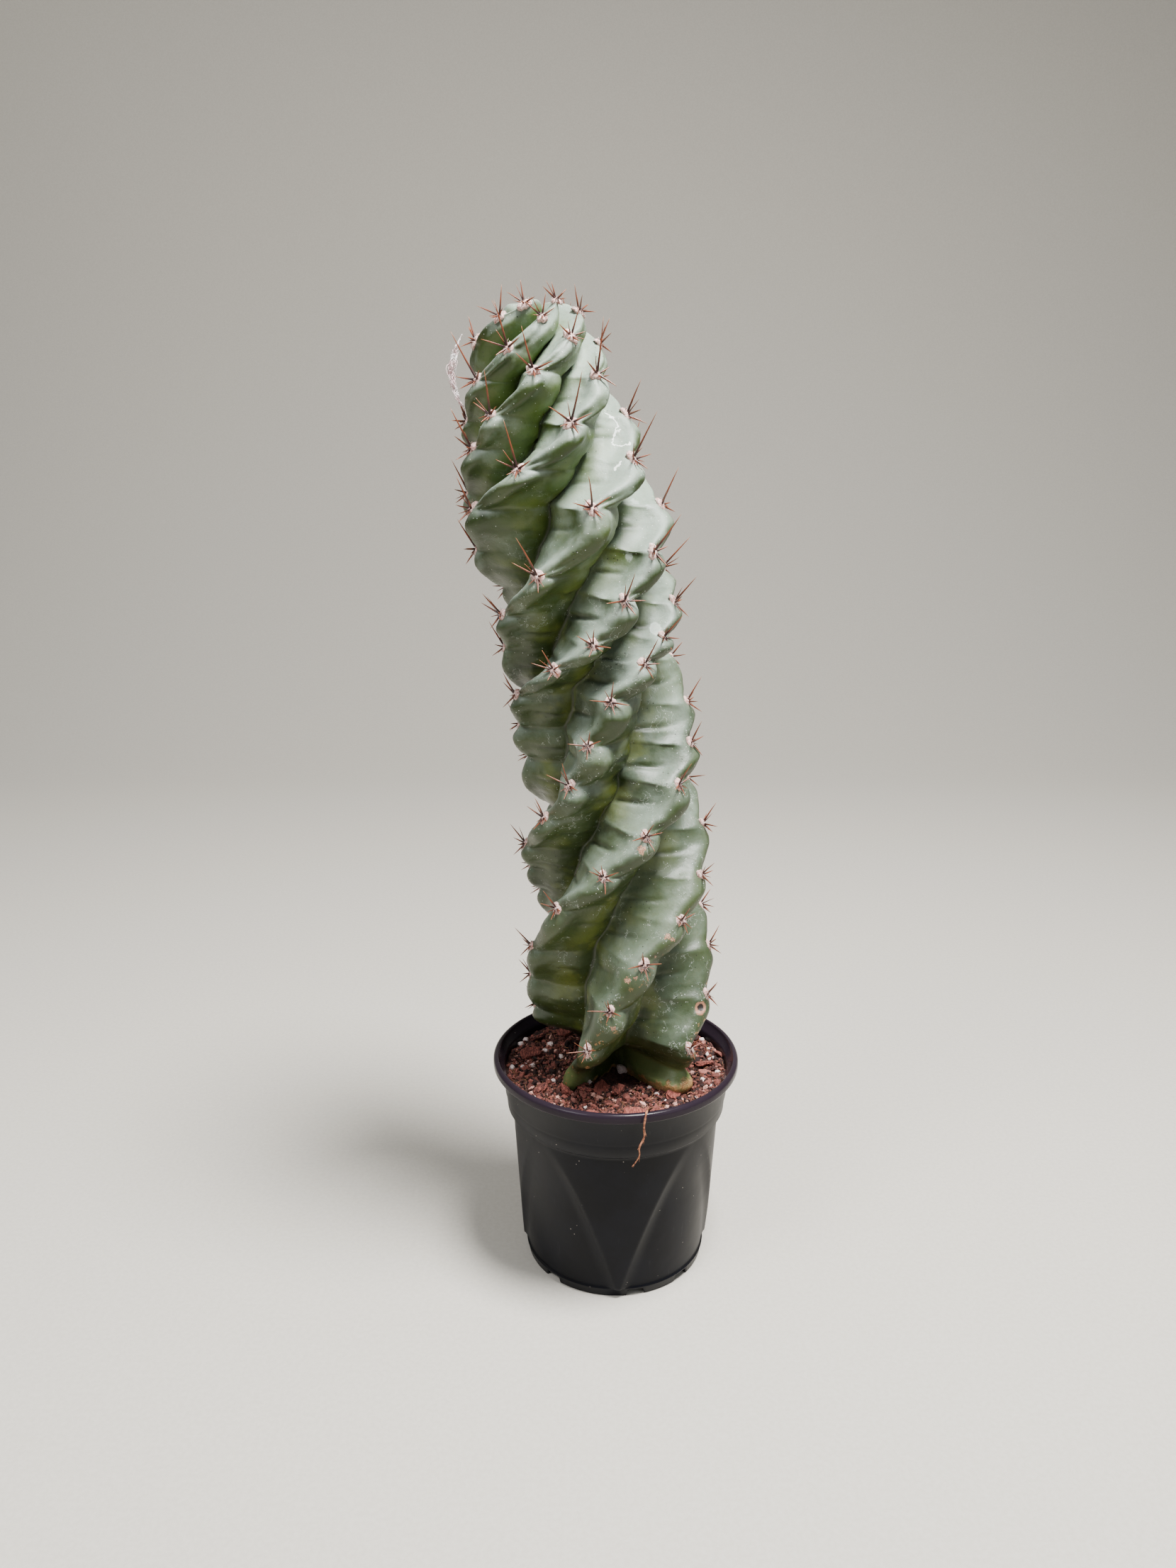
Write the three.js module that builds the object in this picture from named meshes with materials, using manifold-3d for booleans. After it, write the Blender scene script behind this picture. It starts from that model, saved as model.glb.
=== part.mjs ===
// Potted spiral cactus. A stem with five ribs winds round its own leaning axis, with felted areoles and
// spines along the rib crests. It stands in a round nursery pot of bark and perlite potting mix, and one
// loose root strand hangs over the rim.
// Millimetres, +Z up, the pot's foot on z = 0. Azimuths are in degrees, 0 at the front (-Y), growing to
// the right (+X). A level is a height along the stem, which bends inward over the crown.

import * as THREE from "three";
import { mergeVertices } from "three/addons/utils/BufferGeometryUtils.js";
import Module from "manifold-3d";

const wasm = await Module();
wasm.setup();

// Driving dimensions of the pot
const POT_HEIGHT = 107;
const RIM_RADIUS = 60;
const BEAD_HEIGHT = 4.6;
const BAND_RADIUS = 55.6;
const BAND_FOOT_Z = 88;
const STEP_Z = 81.5;
const BODY_TOP_Z = 80;
const BODY_TOP_RADIUS = 50.8;
const BODY_FOOT_RADIUS = 46.4;
const LEDGE_Z = 5;
const FOOT_RADIUS = 44;
const FOOT_WALL = 2;
const FLOOR_Z = 6.6;
const WALL = 1.2;
const POT_SIDES = 40;
const PANEL_DEPTH = 2.2;
const PANEL_HALF_ANGLE = 44;
const PANEL_AZIMUTHS = [46, 136, 226, 316];
const PANEL_SPREAD = 0.62;
const PANEL_EDGE_ANGLE = 9;
const PANEL_FALLS = [0, 0.05, 0.15, 0.3, 0.5, 0.75, 1];
const FOOT_NOTCH_AZIMUTHS = [12, -44, 46, 102, 136, 192, 226];
const FOOT_NOTCH_WIDTH = 8;
const FOOT_NOTCH_HEIGHT = 3;
const DRAIN_HOLE_RADIUS = 3.5;
const DRAIN_HOLE_RING = 29;
const DRAIN_HOLE_COUNT = 6;

// Driving dimensions of the potting soil
const SOIL_TOP_Z = 96;
const FIT_GAP = 0.35;
const SOIL_ROUGHNESS = 1.1;
const SOIL_EDGE_RISE = 2.2;
const PERLITE_COUNT = 28;
const BARK_COUNT = 20;

// Driving dimensions of the stem
const STEM_FOOT_Z = 70;
const PLUG_RADIUS = 14;
const PLUG_TOP_LEVELS = [95, 97];
const TIP_LEVEL = 463;
const TIP_Z = 446;
const CROWN_LEVEL = 420;
const ROW_STEP = 6.4;
const AREOLE_STEP = 17;
const CREST_ROUNDING = 0.19;
const EVEN_RIB_ANGLE = 66;
const PINCH_SHARE = 0.53;
const SWAY_FULLNESS = 0.8;
const SWAY_GAP_SHARES = [0.6, 1.6];
const FLANK_SKEW = 0.28;
// Toes of the foot: how far across the flank their sides lie, and the levels over which they end
const TOE_EDGE = [0.1, 0.5];
const TOE_LEVELS = [100, 126];
const COLUMN_FRACTIONS = [0, 0.09, 0.22, 0.36, 0.5, 0.64, 0.78, 0.91];

// Leaning axis: [level, sideways position] and [level, position toward the back]
const AXIS_X = [[60, 1.5], [150, 1.5], [186, 0.3], [230, -2], [281, -7.6], [319, -14], [361, -22.8],
  [388, -28.2], [410, -32], [430, -34.5], [463, -35.5]];
const AXIS_Y = [[60, 0], [95, 0], [98, 9], [105, 9], [120, 0], [463, 0]];
// Rib crest: [level, radius] and [level, height]
const CREST_RADIUS = [[60, 42.5], [150, 43], [186, 42], [230, 41.5], [281, 39], [320, 40], [361, 43],
  [388, 37.5], [410, 33], [430, 27], [440, 23.5], [448, 18], [455, 11.5], [460, 5], [463, 0]];
const CREST_HEIGHT = [[60, 60], [410, 410], [420, 420], [430, 429.6], [440, 439], [448, 445.5],
  [455, 449.5], [460, 449.3], [463, TIP_Z]];
// Floor of the furrows: [level, radius], [level, height] and [level, share of the way to the next rib]
const FURROW_RADIUS = [[60, 14], [95, 14], [97.5, 5], [104, 5], [120, 16], [140, 19], [180, 20],
  [350, 20.5], [380, 19], [410, 16], [430, 12], [440, 9], [448, 6.5], [455, 3.5], [460, 1.4], [463, 0]];
const FURROW_HEIGHT = [[60, 60], [410, 410], [420, 419], [430, 426.5], [440, 433], [448, 438],
  [455, 441.5], [460, 444.3], [463, TIP_Z]];
// Swelling of the crest below each areole: [level, millimetres]
const CHIN = [[98, 0], [118, 1.5], [200, 2.2], [240, 3], [400, 3], [440, 0], [463, 0]];
// How far a crest swings out to the right between areoles one step apart: [level, degrees]
const SWAY = [[98, 0], [118, 4], [200, 6], [240, 9], [415, 9], [450, 0], [463, 0]];
// How hollow the flanks are, 1 for a plain slope: [level, power]
const FLANK_HOLLOW = [[60, 2.5], [104, 2.5], [140, 1.25], [330, 1.15], [380, 0.92], [463, 0.85]];
const FURROW_PLACE = [[60, 0.45], [300, 0.45], [370, 0.58], [463, 0.5]];

// Ribs in the order that they stand round the stem: foot and tip of the crest, how far the foot reaches
// out just above the soil, the levels over which it grows to the full crest, and the areoles, each
// [level, azimuth unwrapped up the spiral]. Longer stretches get areoles at even steps.
const RIBS = [
  {
    foot: [92, -252],
    footReach: 17,
    footRise: [101, 120],
    areoles: [[135, -221], [226, -139], [253, -115], [270, -98], [287, -72], [302, -26], [313, 2],
      [331, 26], [350, 54], [368, 87], [435, 277], [444, 318], [450, 346]],
    tip: [463, 385],
  },
  {
    foot: [92, -192],
    footReach: 17,
    footRise: [101, 120],
    areoles: [[131, -163], [185, -121], [215, -86], [235, -48], [252, -26], [270, -11], [289, 7],
      [304, 33], [314, 53], [327, 77], [340, 113], [418, 304], [430, 336], [443, 368], [453, 400]],
    tip: [463, 440],
  },
  {
    foot: [92, -124],
    footReach: 17,
    footRise: [101, 120],
    areoles: [[126, -108], [146, -96], [167, -76], [194, -41], [212, -8], [230, 19], [250, 48],
      [265, 74], [281, 93], [299, 117], [391, 296], [404, 320], [421, 357], [435, 394], [448, 440]],
    tip: [463, 490],
  },
  {
    foot: [92, -52],
    footReach: 34.5,
    footRise: [97, 130],
    areoles: [[128, -21], [149, -7], [171, 14], [188, 42], [204, 68], [223, 93], [367, 296], [383, 338],
      [401, 377], [420, 411], [434, 456], [446, 500]],
    tip: [463, 560],
  },
  {
    foot: [92, 46],
    footReach: 43,
    footRise: [97, 122],
    areoles: [[123, 49], [143, 73], [163, 90], [226, 165], [253, 195], [280, 228], [306, 267],
      [323, 296], [341, 338], [368, 377], [387, 422], [405, 452], [420, 497], [435, 547]],
    tip: [463, 635],
  },
];

// Areoles and spines: each spine is [lean from the areole's normal, turn round it from straight up,
// shortest and longest length]
const PAD_SIZE = [2.5, 3];
const PAD_HEIGHT = 1.7;
const PAD_ROOT = 3;
const SPINE_WIDTH = 1.2;
const SPINES = [
  [60, -85, 6, 9],
  [38, 4, 13, 22],
  [62, 80, 8, 12],
  [58, 180, 6, 9],
];
const SPINE_LEAN_SPREAD = 16;
const SPINE_TURN_SPREAD = 44;
// Share of the full spine length: [level, share]
const SPINE_GROWTH = [[90, 0.5], [300, 0.62], [350, 1], [425, 1], [436, 0.6], [450, 0.45]];

// Loose root strand, from the soil over the rim: [x, y, z]
const ROOT_RADIUS = 0.6;
const ROOT_SIDES = 5;
const ROOT_STEPS = 34;
const ROOT_ROUTE = [[16, -45.2, 98.2], [15.1, -48.2, 99.4], [14.1, -51.9, 103.4], [13.4, -55, 107.9],
  [12.7, -57.7, 108.7], [11.8, -60.9, 107], [11.2, -61.3, 102], [11.4, -60.7, 97], [9.3, -61, 92],
  [9.4, -60.2, 87.4], [7.8, -59.7, 83.6], [6.2, -59.2, 81]];

const degrees = THREE.MathUtils.degToRad;

// Repeatable random number from 0 to 1 for a pair of whole numbers
function chance(a, b) {
  const wave = Math.sin(a * 12.9898 + b * 78.233) * 43758.5453;
  return wave - Math.floor(wave);
}

function spread(a, b, width) {
  return (chance(a, b) - 0.5) * width;
}

// Smooth curve through [x, y] points that never overshoots them
function curve(points) {
  const slopes = points.slice(1).map(([x, y], i) => (y - points[i][1]) / (x - points[i][0]));
  const tangents = points.map((_, i) => {
    const [before, after] = [slopes[Math.max(i - 1, 0)], slopes[Math.min(i, slopes.length - 1)]];
    return before * after > 0 ? (2 * before * after) / (before + after) : 0;
  });
  return (x) => {
    const last = points.length - 2;
    let i = 0;
    while (i < last && x > points[i + 1][0]) i += 1;
    const [[x0, y0], [x1, y1]] = [points[i], points[i + 1]];
    const span = x1 - x0;
    const t = THREE.MathUtils.clamp((x - x0) / span, 0, 1);
    const [t2, t3] = [t * t, t * t * t];
    return y0 * (2 * t3 - 3 * t2 + 1) + y1 * (3 * t2 - 2 * t3)
      + span * (tangents[i] * (t3 - 2 * t2 + t) + tangents[i + 1] * (t3 - t2));
  };
}

// Point at a radius and azimuth round a centre
function around(radius, azimuth, z, [centreX, centreY] = [0, 0]) {
  const angle = degrees(azimuth);
  return new THREE.Vector3(centreX + radius * Math.sin(angle), centreY - radius * Math.cos(angle), z);
}

// Closed geometry as a solid that can be joined and cut
function solid(geometry) {
  const bare = geometry.clone();
  bare.deleteAttribute("normal");
  bare.deleteAttribute("uv");
  const merged = mergeVertices(bare.index ? bare : mergeVertices(bare), 1e-4);
  return new wasm.Manifold(new wasm.Mesh({
    numProp: 3,
    vertProperties: new Float32Array(merged.attributes.position.array),
    triVerts: new Uint32Array(merged.index.array),
  }));
}

function geometryOf(body) {
  const { vertProperties, triVerts } = body.getMesh();
  const geometry = new THREE.BufferGeometry();
  geometry.setAttribute("position", new THREE.BufferAttribute(vertProperties, 3));
  geometry.setIndex(new THREE.BufferAttribute(triVerts, 1));
  geometry.computeVertexNormals();
  return geometry;
}

// Closed skin over rings of equally many points; a ring of one point closes an end
function skin(rings) {
  const points = rings.flat();
  const starts = rings.map((_, i) => rings.slice(0, i).reduce((sum, ring) => sum + ring.length, 0));
  const faces = [];
  for (let i = 0; i + 1 < rings.length; i += 1) {
    const count = Math.max(rings[i].length, rings[i + 1].length);
    for (let j = 0; j < count; j += 1) {
      const next = (j + 1) % count;
      const low = (k) => starts[i] + (rings[i].length > 1 ? k : 0);
      const high = (k) => starts[i + 1] + (rings[i + 1].length > 1 ? k : 0);
      if (rings[i].length > 1) faces.push(low(j), low(next), high(j));
      if (rings[i + 1].length > 1) faces.push(low(next), high(next), high(j));
    }
  }
  const geometry = new THREE.BufferGeometry();
  geometry.setAttribute("position", new THREE.Float32BufferAttribute(points.flatMap((p) => p.toArray()), 3));
  geometry.setIndex(faces);
  return geometry;
}

// Turned solid about the pot's axis from [radius, height] points that start and end on the axis
function turned(profile, sides = POT_SIDES) {
  const points = profile.map(([radius, height]) => new THREE.Vector2(radius, height));
  return solid(new THREE.LatheGeometry(points, sides).rotateX(Math.PI / 2));
}

function cylinder(radius, bottom, top, sides, x = 0, y = 0) {
  const geometry = new THREE.CylinderGeometry(radius, radius, top - bottom, sides).rotateX(Math.PI / 2);
  return solid(geometry.translate(x, y, (bottom + top) / 2));
}

function box(width, depth, height, centre, azimuth) {
  const geometry = new THREE.BoxGeometry(width, depth, height).rotateZ(degrees(azimuth));
  return solid(geometry.translate(centre.x, centre.y, centre.z));
}

// Radius of the pot's tapered body
function bodyRadius(z) {
  return THREE.MathUtils.mapLinear(z, LEDGE_Z, BODY_TOP_Z, BODY_FOOT_RADIUS, BODY_TOP_RADIUS);
}

// Cutter for one sunk panel: a point at the top of the body that widens downward to a quarter of the pot,
// deepening from its edges inward
function panelCutter(azimuth, inset) {
  const rings = PANEL_FALLS.map((fall) => {
    const z = THREE.MathUtils.lerp(BODY_TOP_Z, LEDGE_Z - 1, fall);
    const surface = bodyRadius(z) - inset;
    const depth = PANEL_DEPTH * THREE.MathUtils.smoothstep(fall, -0.05, 0.45);
    const half = PANEL_HALF_ANGLE * fall ** PANEL_SPREAD + THREE.MathUtils.radToDeg(inset / surface) + 0.4;
    const edge = Math.min(PANEL_EDGE_ANGLE, half * 0.8);
    const section = [[half, 0], [half - edge * 0.33, 0.556], [half - edge, 1]];
    const inner = [...section.map(([angle, share]) => [-angle, share]), ...section.reverse()];
    return [
      ...inner.map(([angle, share]) => around(surface - depth * share, azimuth - angle, z)),
      ...inner.map(([angle]) => around(RIM_RADIUS, azimuth + angle, z)),
    ];
  }).reverse();
  const middle = (ring) => [ring.reduce((sum, p) => sum.add(p), new THREE.Vector3()).divideScalar(ring.length)];
  return solid(skin([middle(rings[0]), ...rings, middle(rings[rings.length - 1])]));
}

function cutPanels(body, inset) {
  return PANEL_AZIMUTHS.reduce((left, azimuth) => left.subtract(panelCutter(azimuth, inset)), body);
}

// Turned and panelled space of the pot's body and band, shrunk inward by an inset
function potInside(inset, bottom, top) {
  return cutPanels(turned([
    [0, bottom],
    [bodyRadius(bottom) - inset, bottom],
    [BODY_TOP_RADIUS - inset, BODY_TOP_Z],
    [BAND_RADIUS - 2.2 - inset, STEP_Z + inset],
    [BAND_RADIUS - 1.6 - inset, BAND_FOOT_Z],
    [BAND_RADIUS - inset, POT_HEIGHT - BEAD_HEIGHT],
    [RIM_RADIUS - 2.8 - Math.max(0, inset - WALL), POT_HEIGHT - BEAD_HEIGHT + 2.4],
    [RIM_RADIUS - 2.6 - Math.max(0, inset - WALL), top],
    [0, top],
  ]), inset);
}

function makePot() {
  const beadFoot = POT_HEIGHT - BEAD_HEIGHT;
  const outside = turned([
    [0, 0],
    [FOOT_RADIUS, 0],
    [FOOT_RADIUS + 0.5, LEDGE_Z - 0.8],
    [BODY_FOOT_RADIUS, LEDGE_Z],
    [BODY_TOP_RADIUS, BODY_TOP_Z],
    [BAND_RADIUS - 2.2, STEP_Z],
    [BAND_RADIUS - 1.6, BAND_FOOT_Z],
    [BAND_RADIUS, beadFoot - 0.5],
    [RIM_RADIUS - 0.8, beadFoot],
    [RIM_RADIUS, beadFoot + 0.9],
    [RIM_RADIUS, POT_HEIGHT - 1.5],
    [RIM_RADIUS - 1, POT_HEIGHT - 0.3],
    [RIM_RADIUS - 1.8, POT_HEIGHT],
    [0, POT_HEIGHT],
  ]);
  let pot = cutPanels(outside, 0).subtract(potInside(WALL, FLOOR_Z, POT_HEIGHT + 1));
  pot = pot.subtract(cylinder(FOOT_RADIUS - FOOT_WALL, -1, FLOOR_Z - WALL * 1.5, POT_SIDES));
  for (const azimuth of FOOT_NOTCH_AZIMUTHS) {
    const centre = around(FOOT_RADIUS, azimuth, FOOT_NOTCH_HEIGHT / 2 - 1);
    pot = pot.subtract(box(FOOT_NOTCH_WIDTH, 8, FOOT_NOTCH_HEIGHT + 2, centre, azimuth));
  }
  for (let i = 0; i < DRAIN_HOLE_COUNT; i += 1) {
    const centre = around(DRAIN_HOLE_RING, (i * 360) / DRAIN_HOLE_COUNT + 20, 0);
    pot = pot.subtract(cylinder(DRAIN_HOLE_RADIUS, -1, FLOOR_Z + 1, 8, centre.x, centre.y));
  }
  return pot;
}

// Height of the soil at a place, lower round the stem's foot and higher along the pot's wall
function soilLevel(x, y) {
  const fromStem = THREE.MathUtils.smoothstep(Math.hypot(x, y), 34, 44);
  const ripple = Math.sin(x * 0.42 + 1.3) * Math.cos(y * 0.37 - 0.6) + Math.sin((x + y) * 0.81) * 0.5;
  const towardWall = THREE.MathUtils.smoothstep(Math.hypot(x, y), 46, 55);
  return SOIL_TOP_Z - 1.6 + fromStem * (SOIL_ROUGHNESS * ripple + 1.4) + towardWall * SOIL_EDGE_RISE;
}

function crumblyLevel(x, y) {
  return soilLevel(x, y) + (chance(Math.round(x * 3), Math.round(y * 3)) - 0.5) * SOIL_ROUGHNESS * 0.8;
}

function soilTop() {
  const rings = [[new THREE.Vector3(0, 0, 0)]];
  const sides = 40;
  const ringAt = (radius, height) => {
    const ring = [];
    for (let j = 0; j < sides; j += 1) {
      const point = around(radius, (j * 360) / sides, 0);
      ring.push(point.setZ(height(point.x, point.y)));
    }
    return ring;
  };
  rings.push(ringAt(RIM_RADIUS, () => 0));
  for (const radius of [RIM_RADIUS, 53, 48.5, 44, 39.5, 35, 31, 26]) rings.push(ringAt(radius, crumblyLevel));
  rings.push([new THREE.Vector3(0, 0, SOIL_TOP_Z - 2)]);
  return solid(skin(rings));
}

// Scattered grain or chip, half sunk in the soil
function scatterOnSoil(kind, index, radiusRange, sink, geometry) {
  const azimuth = chance(index, kind) * 360;
  const radius = THREE.MathUtils.lerp(...radiusRange, Math.sqrt(chance(index, kind + 1)));
  const place = around(radius, azimuth, 0);
  geometry.rotateX(spread(index, kind + 2, 1.6));
  geometry.rotateZ(chance(index, kind + 3) * Math.PI * 2);
  geometry.translate(place.x, place.y, soilLevel(place.x, place.y) - sink);
  return solid(geometry);
}

function makeSoil() {
  const inset = WALL + FIT_GAP;
  let soil = soilTop();
  for (let i = 0; i < PERLITE_COUNT; i += 1) {
    const grain = new THREE.OctahedronGeometry(1 + chance(i, 40) * 0.9, 0).scale(1, 0.8, 0.8);
    soil = soil.add(scatterOnSoil(50, i, [41, 51], 0.3, grain));
  }
  for (let i = 0; i < BARK_COUNT; i += 1) {
    const chip = new THREE.BoxGeometry(4 + chance(i, 60) * 5, 2.6 + chance(i, 61) * 2, 2);
    soil = soil.add(scatterOnSoil(70, i, [42, 49.5], 0.4, chip));
  }
  soil = soil.intersect(potInside(inset, FLOOR_Z + FIT_GAP, POT_HEIGHT));
  const [low, high] = [STEM_FOOT_Z - FIT_GAP, POT_HEIGHT];
  return soil.subtract(cylinder(PLUG_RADIUS + FIT_GAP + 0.2, low, high, 40, AXIS_X[0][1]));
}

const axisX = curve(AXIS_X);
const axisY = curve(AXIS_Y);
const axis = (level) => [axisX(level), axisY(level)];
const crestRadius = curve(CREST_RADIUS);
const crestHeight = curve(CREST_HEIGHT);
const furrowRadius = curve(FURROW_RADIUS);
const furrowHeight = curve(FURROW_HEIGHT);
const furrowPlace = curve(FURROW_PLACE);
const chin = curve(CHIN);
const sway = curve(SWAY);
const flankHollow = curve(FLANK_HOLLOW);
const spineGrowth = curve(SPINE_GROWTH);

// A rib's smooth azimuth along the stem and the levels of all its areoles, unseen ones filled in evenly
function traceRib({ foot, footReach, footRise, areoles, tip }) {
  const azimuth = curve([foot, ...areoles, tip]);
  const levels = [areoles[0][0]];
  for (const [level] of areoles.slice(1)) {
    const from = levels[levels.length - 1];
    const steps = Math.round((level - from) / AREOLE_STEP);
    const filled = level - from > AREOLE_STEP * 1.7 ? steps : 1;
    for (let i = 1; i <= filled; i += 1) levels.push(from + ((level - from) * i) / filled);
  }
  return { azimuth, levels, footReach, footRise };
}

const ribs = RIBS.map(traceRib);

// How far a level lies on the way from one areole of a rib to the next, from 0 to 1
function phase({ levels }, level) {
  const next = levels.findIndex((areole) => areole > level);
  if (next > 0) return (level - levels[next - 1]) / (levels[next] - levels[next - 1]);
  const end = next === 0 ? levels[0] : levels[levels.length - 1];
  return THREE.MathUtils.euclideanModulo((level - end) / AREOLE_STEP, 1);
}

// Bell curve that repeats from one areole to the next
function bump(along, centre, width) {
  return [-1, 0, 1].reduce((sum, turn) => sum + Math.exp(-(((along - centre + turn) / width) ** 2)), 0);
}

// Radius of a rib's crest, which starts from the plug in the soil and the foot's own reach
function crestReach({ footReach, footRise }, level) {
  const spreadOut = THREE.MathUtils.smoothstep(level, ...PLUG_TOP_LEVELS);
  const foot = THREE.MathUtils.lerp(PLUG_RADIUS, footReach, spreadOut);
  return THREE.MathUtils.lerp(foot, crestRadius(level), THREE.MathUtils.smoothstep(level, ...footRise));
}

// Swelling below each areole and pinch above it, in millimetres
function chinAt(rib, level) {
  const along = phase(rib, level);
  return chin(level) * (bump(along, 0.64, 0.24) - PINCH_SHARE * bump(along, 0.12, 0.14));
}

// Length of the gap between the areoles on either side of a level, as a share of the usual step
function gapShare({ levels }, level) {
  const next = levels.findIndex((areole) => areole > level);
  const gap = next > 0 ? levels[next] - levels[next - 1] : AREOLE_STEP;
  return THREE.MathUtils.clamp(gap / AREOLE_STEP, ...SWAY_GAP_SHARES);
}

// Azimuth of a rib's crest, which swings out to the right between its areoles
function crestAzimuth(rib, level) {
  const swing = Math.sin(Math.PI * phase(rib, level)) ** SWAY_FULLNESS;
  return rib.azimuth(level) + sway(level) * gapShare(rib, level) * swing;
}

// Share of the rib's depth that is left across its flank, 1 at the crest and 0 in the furrow. The flank
// left of a crest is more hollow than the one right of it.
function flankShape(across, way, level) {
  const rounded = (Math.hypot(way, CREST_ROUNDING) - CREST_ROUNDING)
    / (Math.hypot(1, CREST_ROUNDING) - CREST_ROUNDING);
  const skew = across < 0.5 ? -FLANK_SKEW : FLANK_SKEW;
  const share = (1 - rounded) ** (flankHollow(level) + skew);
  const toe = 1 - THREE.MathUtils.smoothstep(way, ...TOE_EDGE);
  return THREE.MathUtils.lerp(toe, share, THREE.MathUtils.smoothstep(level, ...TOE_LEVELS));
}

// Surface point between the crest of one rib and the crest of the next
function stemPoint(index, across, level) {
  const rib = ribs[index];
  const next = ribs[(index + 1) % ribs.length];
  const turn = index + 1 === ribs.length ? 360 : 0;
  const from = crestAzimuth(rib, level);
  const to = crestAzimuth(next, level) + turn;
  const way = 1 - Math.abs(across * 2 - 1);
  const nearest = across < 0.5 ? rib : next;
  const relief = Math.min(1, ((to - from) / EVEN_RIB_ANGLE) ** 0.7);
  const crest = THREE.MathUtils.lerp(crestReach(rib, level), crestReach(next, level), across);
  const share = 1 - (1 - flankShape(across, way, level)) * relief;
  const radius = THREE.MathUtils.lerp(furrowRadius(level), crest, share) + chinAt(nearest, level) * (1 - way);
  const height = THREE.MathUtils.lerp(furrowHeight(level), crestHeight(level), share);
  const furrow = furrowPlace(level);
  const reached = across < 0.5 ? across * 2 * furrow : furrow + (across * 2 - 1) * (1 - furrow);
  return around(radius, THREE.MathUtils.lerp(from, to, reached), height, axis(level));
}

function stemLevels() {
  const levels = [STEM_FOOT_Z + 4, 95, 97, 99, 103, 107.5];
  while (levels[levels.length - 1] + ROW_STEP < CROWN_LEVEL + 6) {
    levels.push(levels[levels.length - 1] + ROW_STEP);
  }
  return [...levels, 431, 437, 443, 448, 453, 457.5, 461];
}

function makeStemBody() {
  const columns = ribs.flatMap((_, index) => COLUMN_FRACTIONS.map((across) => [index, across]));
  const foot = columns.map(([index, across]) => stemPoint(index, across, STEM_FOOT_Z));
  const sole = new THREE.Vector3(...axis(STEM_FOOT_Z), STEM_FOOT_Z);
  const rings = [
    [sole],
    foot.map((point) => point.clone().lerp(sole, 0.18)),
    ...stemLevels().map((level) => columns.map(([index, across]) => stemPoint(index, across, level))),
    [new THREE.Vector3(...axis(TIP_LEVEL), TIP_Z)],
  ];
  return solid(skin(rings));
}

function crestPoint(rib, level) {
  const radius = crestReach(rib, level) + chinAt(rib, level);
  return around(radius, crestAzimuth(rib, level), crestHeight(level), axis(level));
}

// Place of an areole on the crest line between the rows of the body, with its outward normal and its
// upward direction
function areoleFrame(rib, level) {
  const azimuth = crestAzimuth(rib, level);
  const rows = stemLevels();
  const above = rows.findIndex((row) => row > level);
  const [low, high] = [rows[above - 1], rows[above]];
  const place = crestPoint(rib, low).lerp(crestPoint(rib, high), (level - low) / (high - low));
  const rise = crestHeight(level + 2) - crestHeight(level - 2);
  const shrink = crestRadius(level - 2) - crestRadius(level + 2);
  const out = around(1, azimuth, 0);
  const normal = out.clone().multiplyScalar(rise).add(new THREE.Vector3(0, 0, shrink + rise * 0.3)).normalize();
  const side = new THREE.Vector3(0, 0, 1).cross(out).normalize();
  const up = normal.clone().cross(side).normalize();
  return { place, normal, side, up };
}

// Closed felt pad whose top is a fan of eight facets, with a spine drawn out of every second facet
function makeAreole({ place, normal, side, up }, spines) {
  const at = (angle, reach, rise) => place.clone().addScaledVector(normal, rise)
    .addScaledVector(side, reach * PAD_SIZE[0] * Math.cos(degrees(angle)))
    .addScaledVector(up, reach * PAD_SIZE[1] * Math.sin(degrees(angle)));
  const points = [at(0, 0, PAD_HEIGHT + 0.2), at(0, 0, -PAD_ROOT)];
  const [top, root, edge, ring] = [0, 1, 2, 6];
  for (let i = 0; i < 4; i += 1) points.push(at(i * 90 - 22.5, 1, 0));
  const inner = SPINE_WIDTH / PAD_SIZE[0];
  for (let j = 0; j < 8; j += 1) points.push(at(j * 45 - 22.5, inner, PAD_HEIGHT));
  const faces = [];
  for (let i = 0; i < 4; i += 1) {
    const [low, lowNext] = [edge + i, edge + ((i + 1) % 4)];
    const [first, second, third] = [0, 1, 2].map((k) => ring + ((2 * i + k) % 8));
    faces.push(low, lowNext, second, low, second, first, lowNext, third, second, root, lowNext, low);
    const tip = points.length;
    const { lean, turn, length } = spines[i];
    const heading = up.clone().multiplyScalar(Math.cos(degrees(turn)))
      .addScaledVector(side, -Math.sin(degrees(turn)));
    points.push(at(i * 90, inner * 0.6, PAD_HEIGHT)
      .addScaledVector(normal, length * Math.cos(degrees(lean)))
      .addScaledVector(heading, length * Math.sin(degrees(lean))));
    faces.push(top, first, tip, first, second, tip, second, top, tip, top, second, third);
  }
  const geometry = new THREE.BufferGeometry();
  geometry.setAttribute("position", new THREE.Float32BufferAttribute(points.flatMap((p) => p.toArray()), 3));
  geometry.setIndex(faces);
  return solid(geometry);
}

function makeStem() {
  let stem = makeStemBody();
  ribs.forEach((rib, index) => {
    rib.levels.forEach((level, order) => {
      const seed = index * 100 + order;
      const scale = spineGrowth(level);
      const spines = SPINES.map(([lean, turn, shortest, longest], which) => ({
        lean: lean + spread(seed, which + 10, SPINE_LEAN_SPREAD),
        turn: turn + spread(seed, which + 20, SPINE_TURN_SPREAD),
        length: THREE.MathUtils.lerp(shortest, longest, chance(seed, which)) * scale,
      }));
      stem = stem.add(makeAreole(areoleFrame(rib, level), spines));
    });
  });
  return stem;
}

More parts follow.
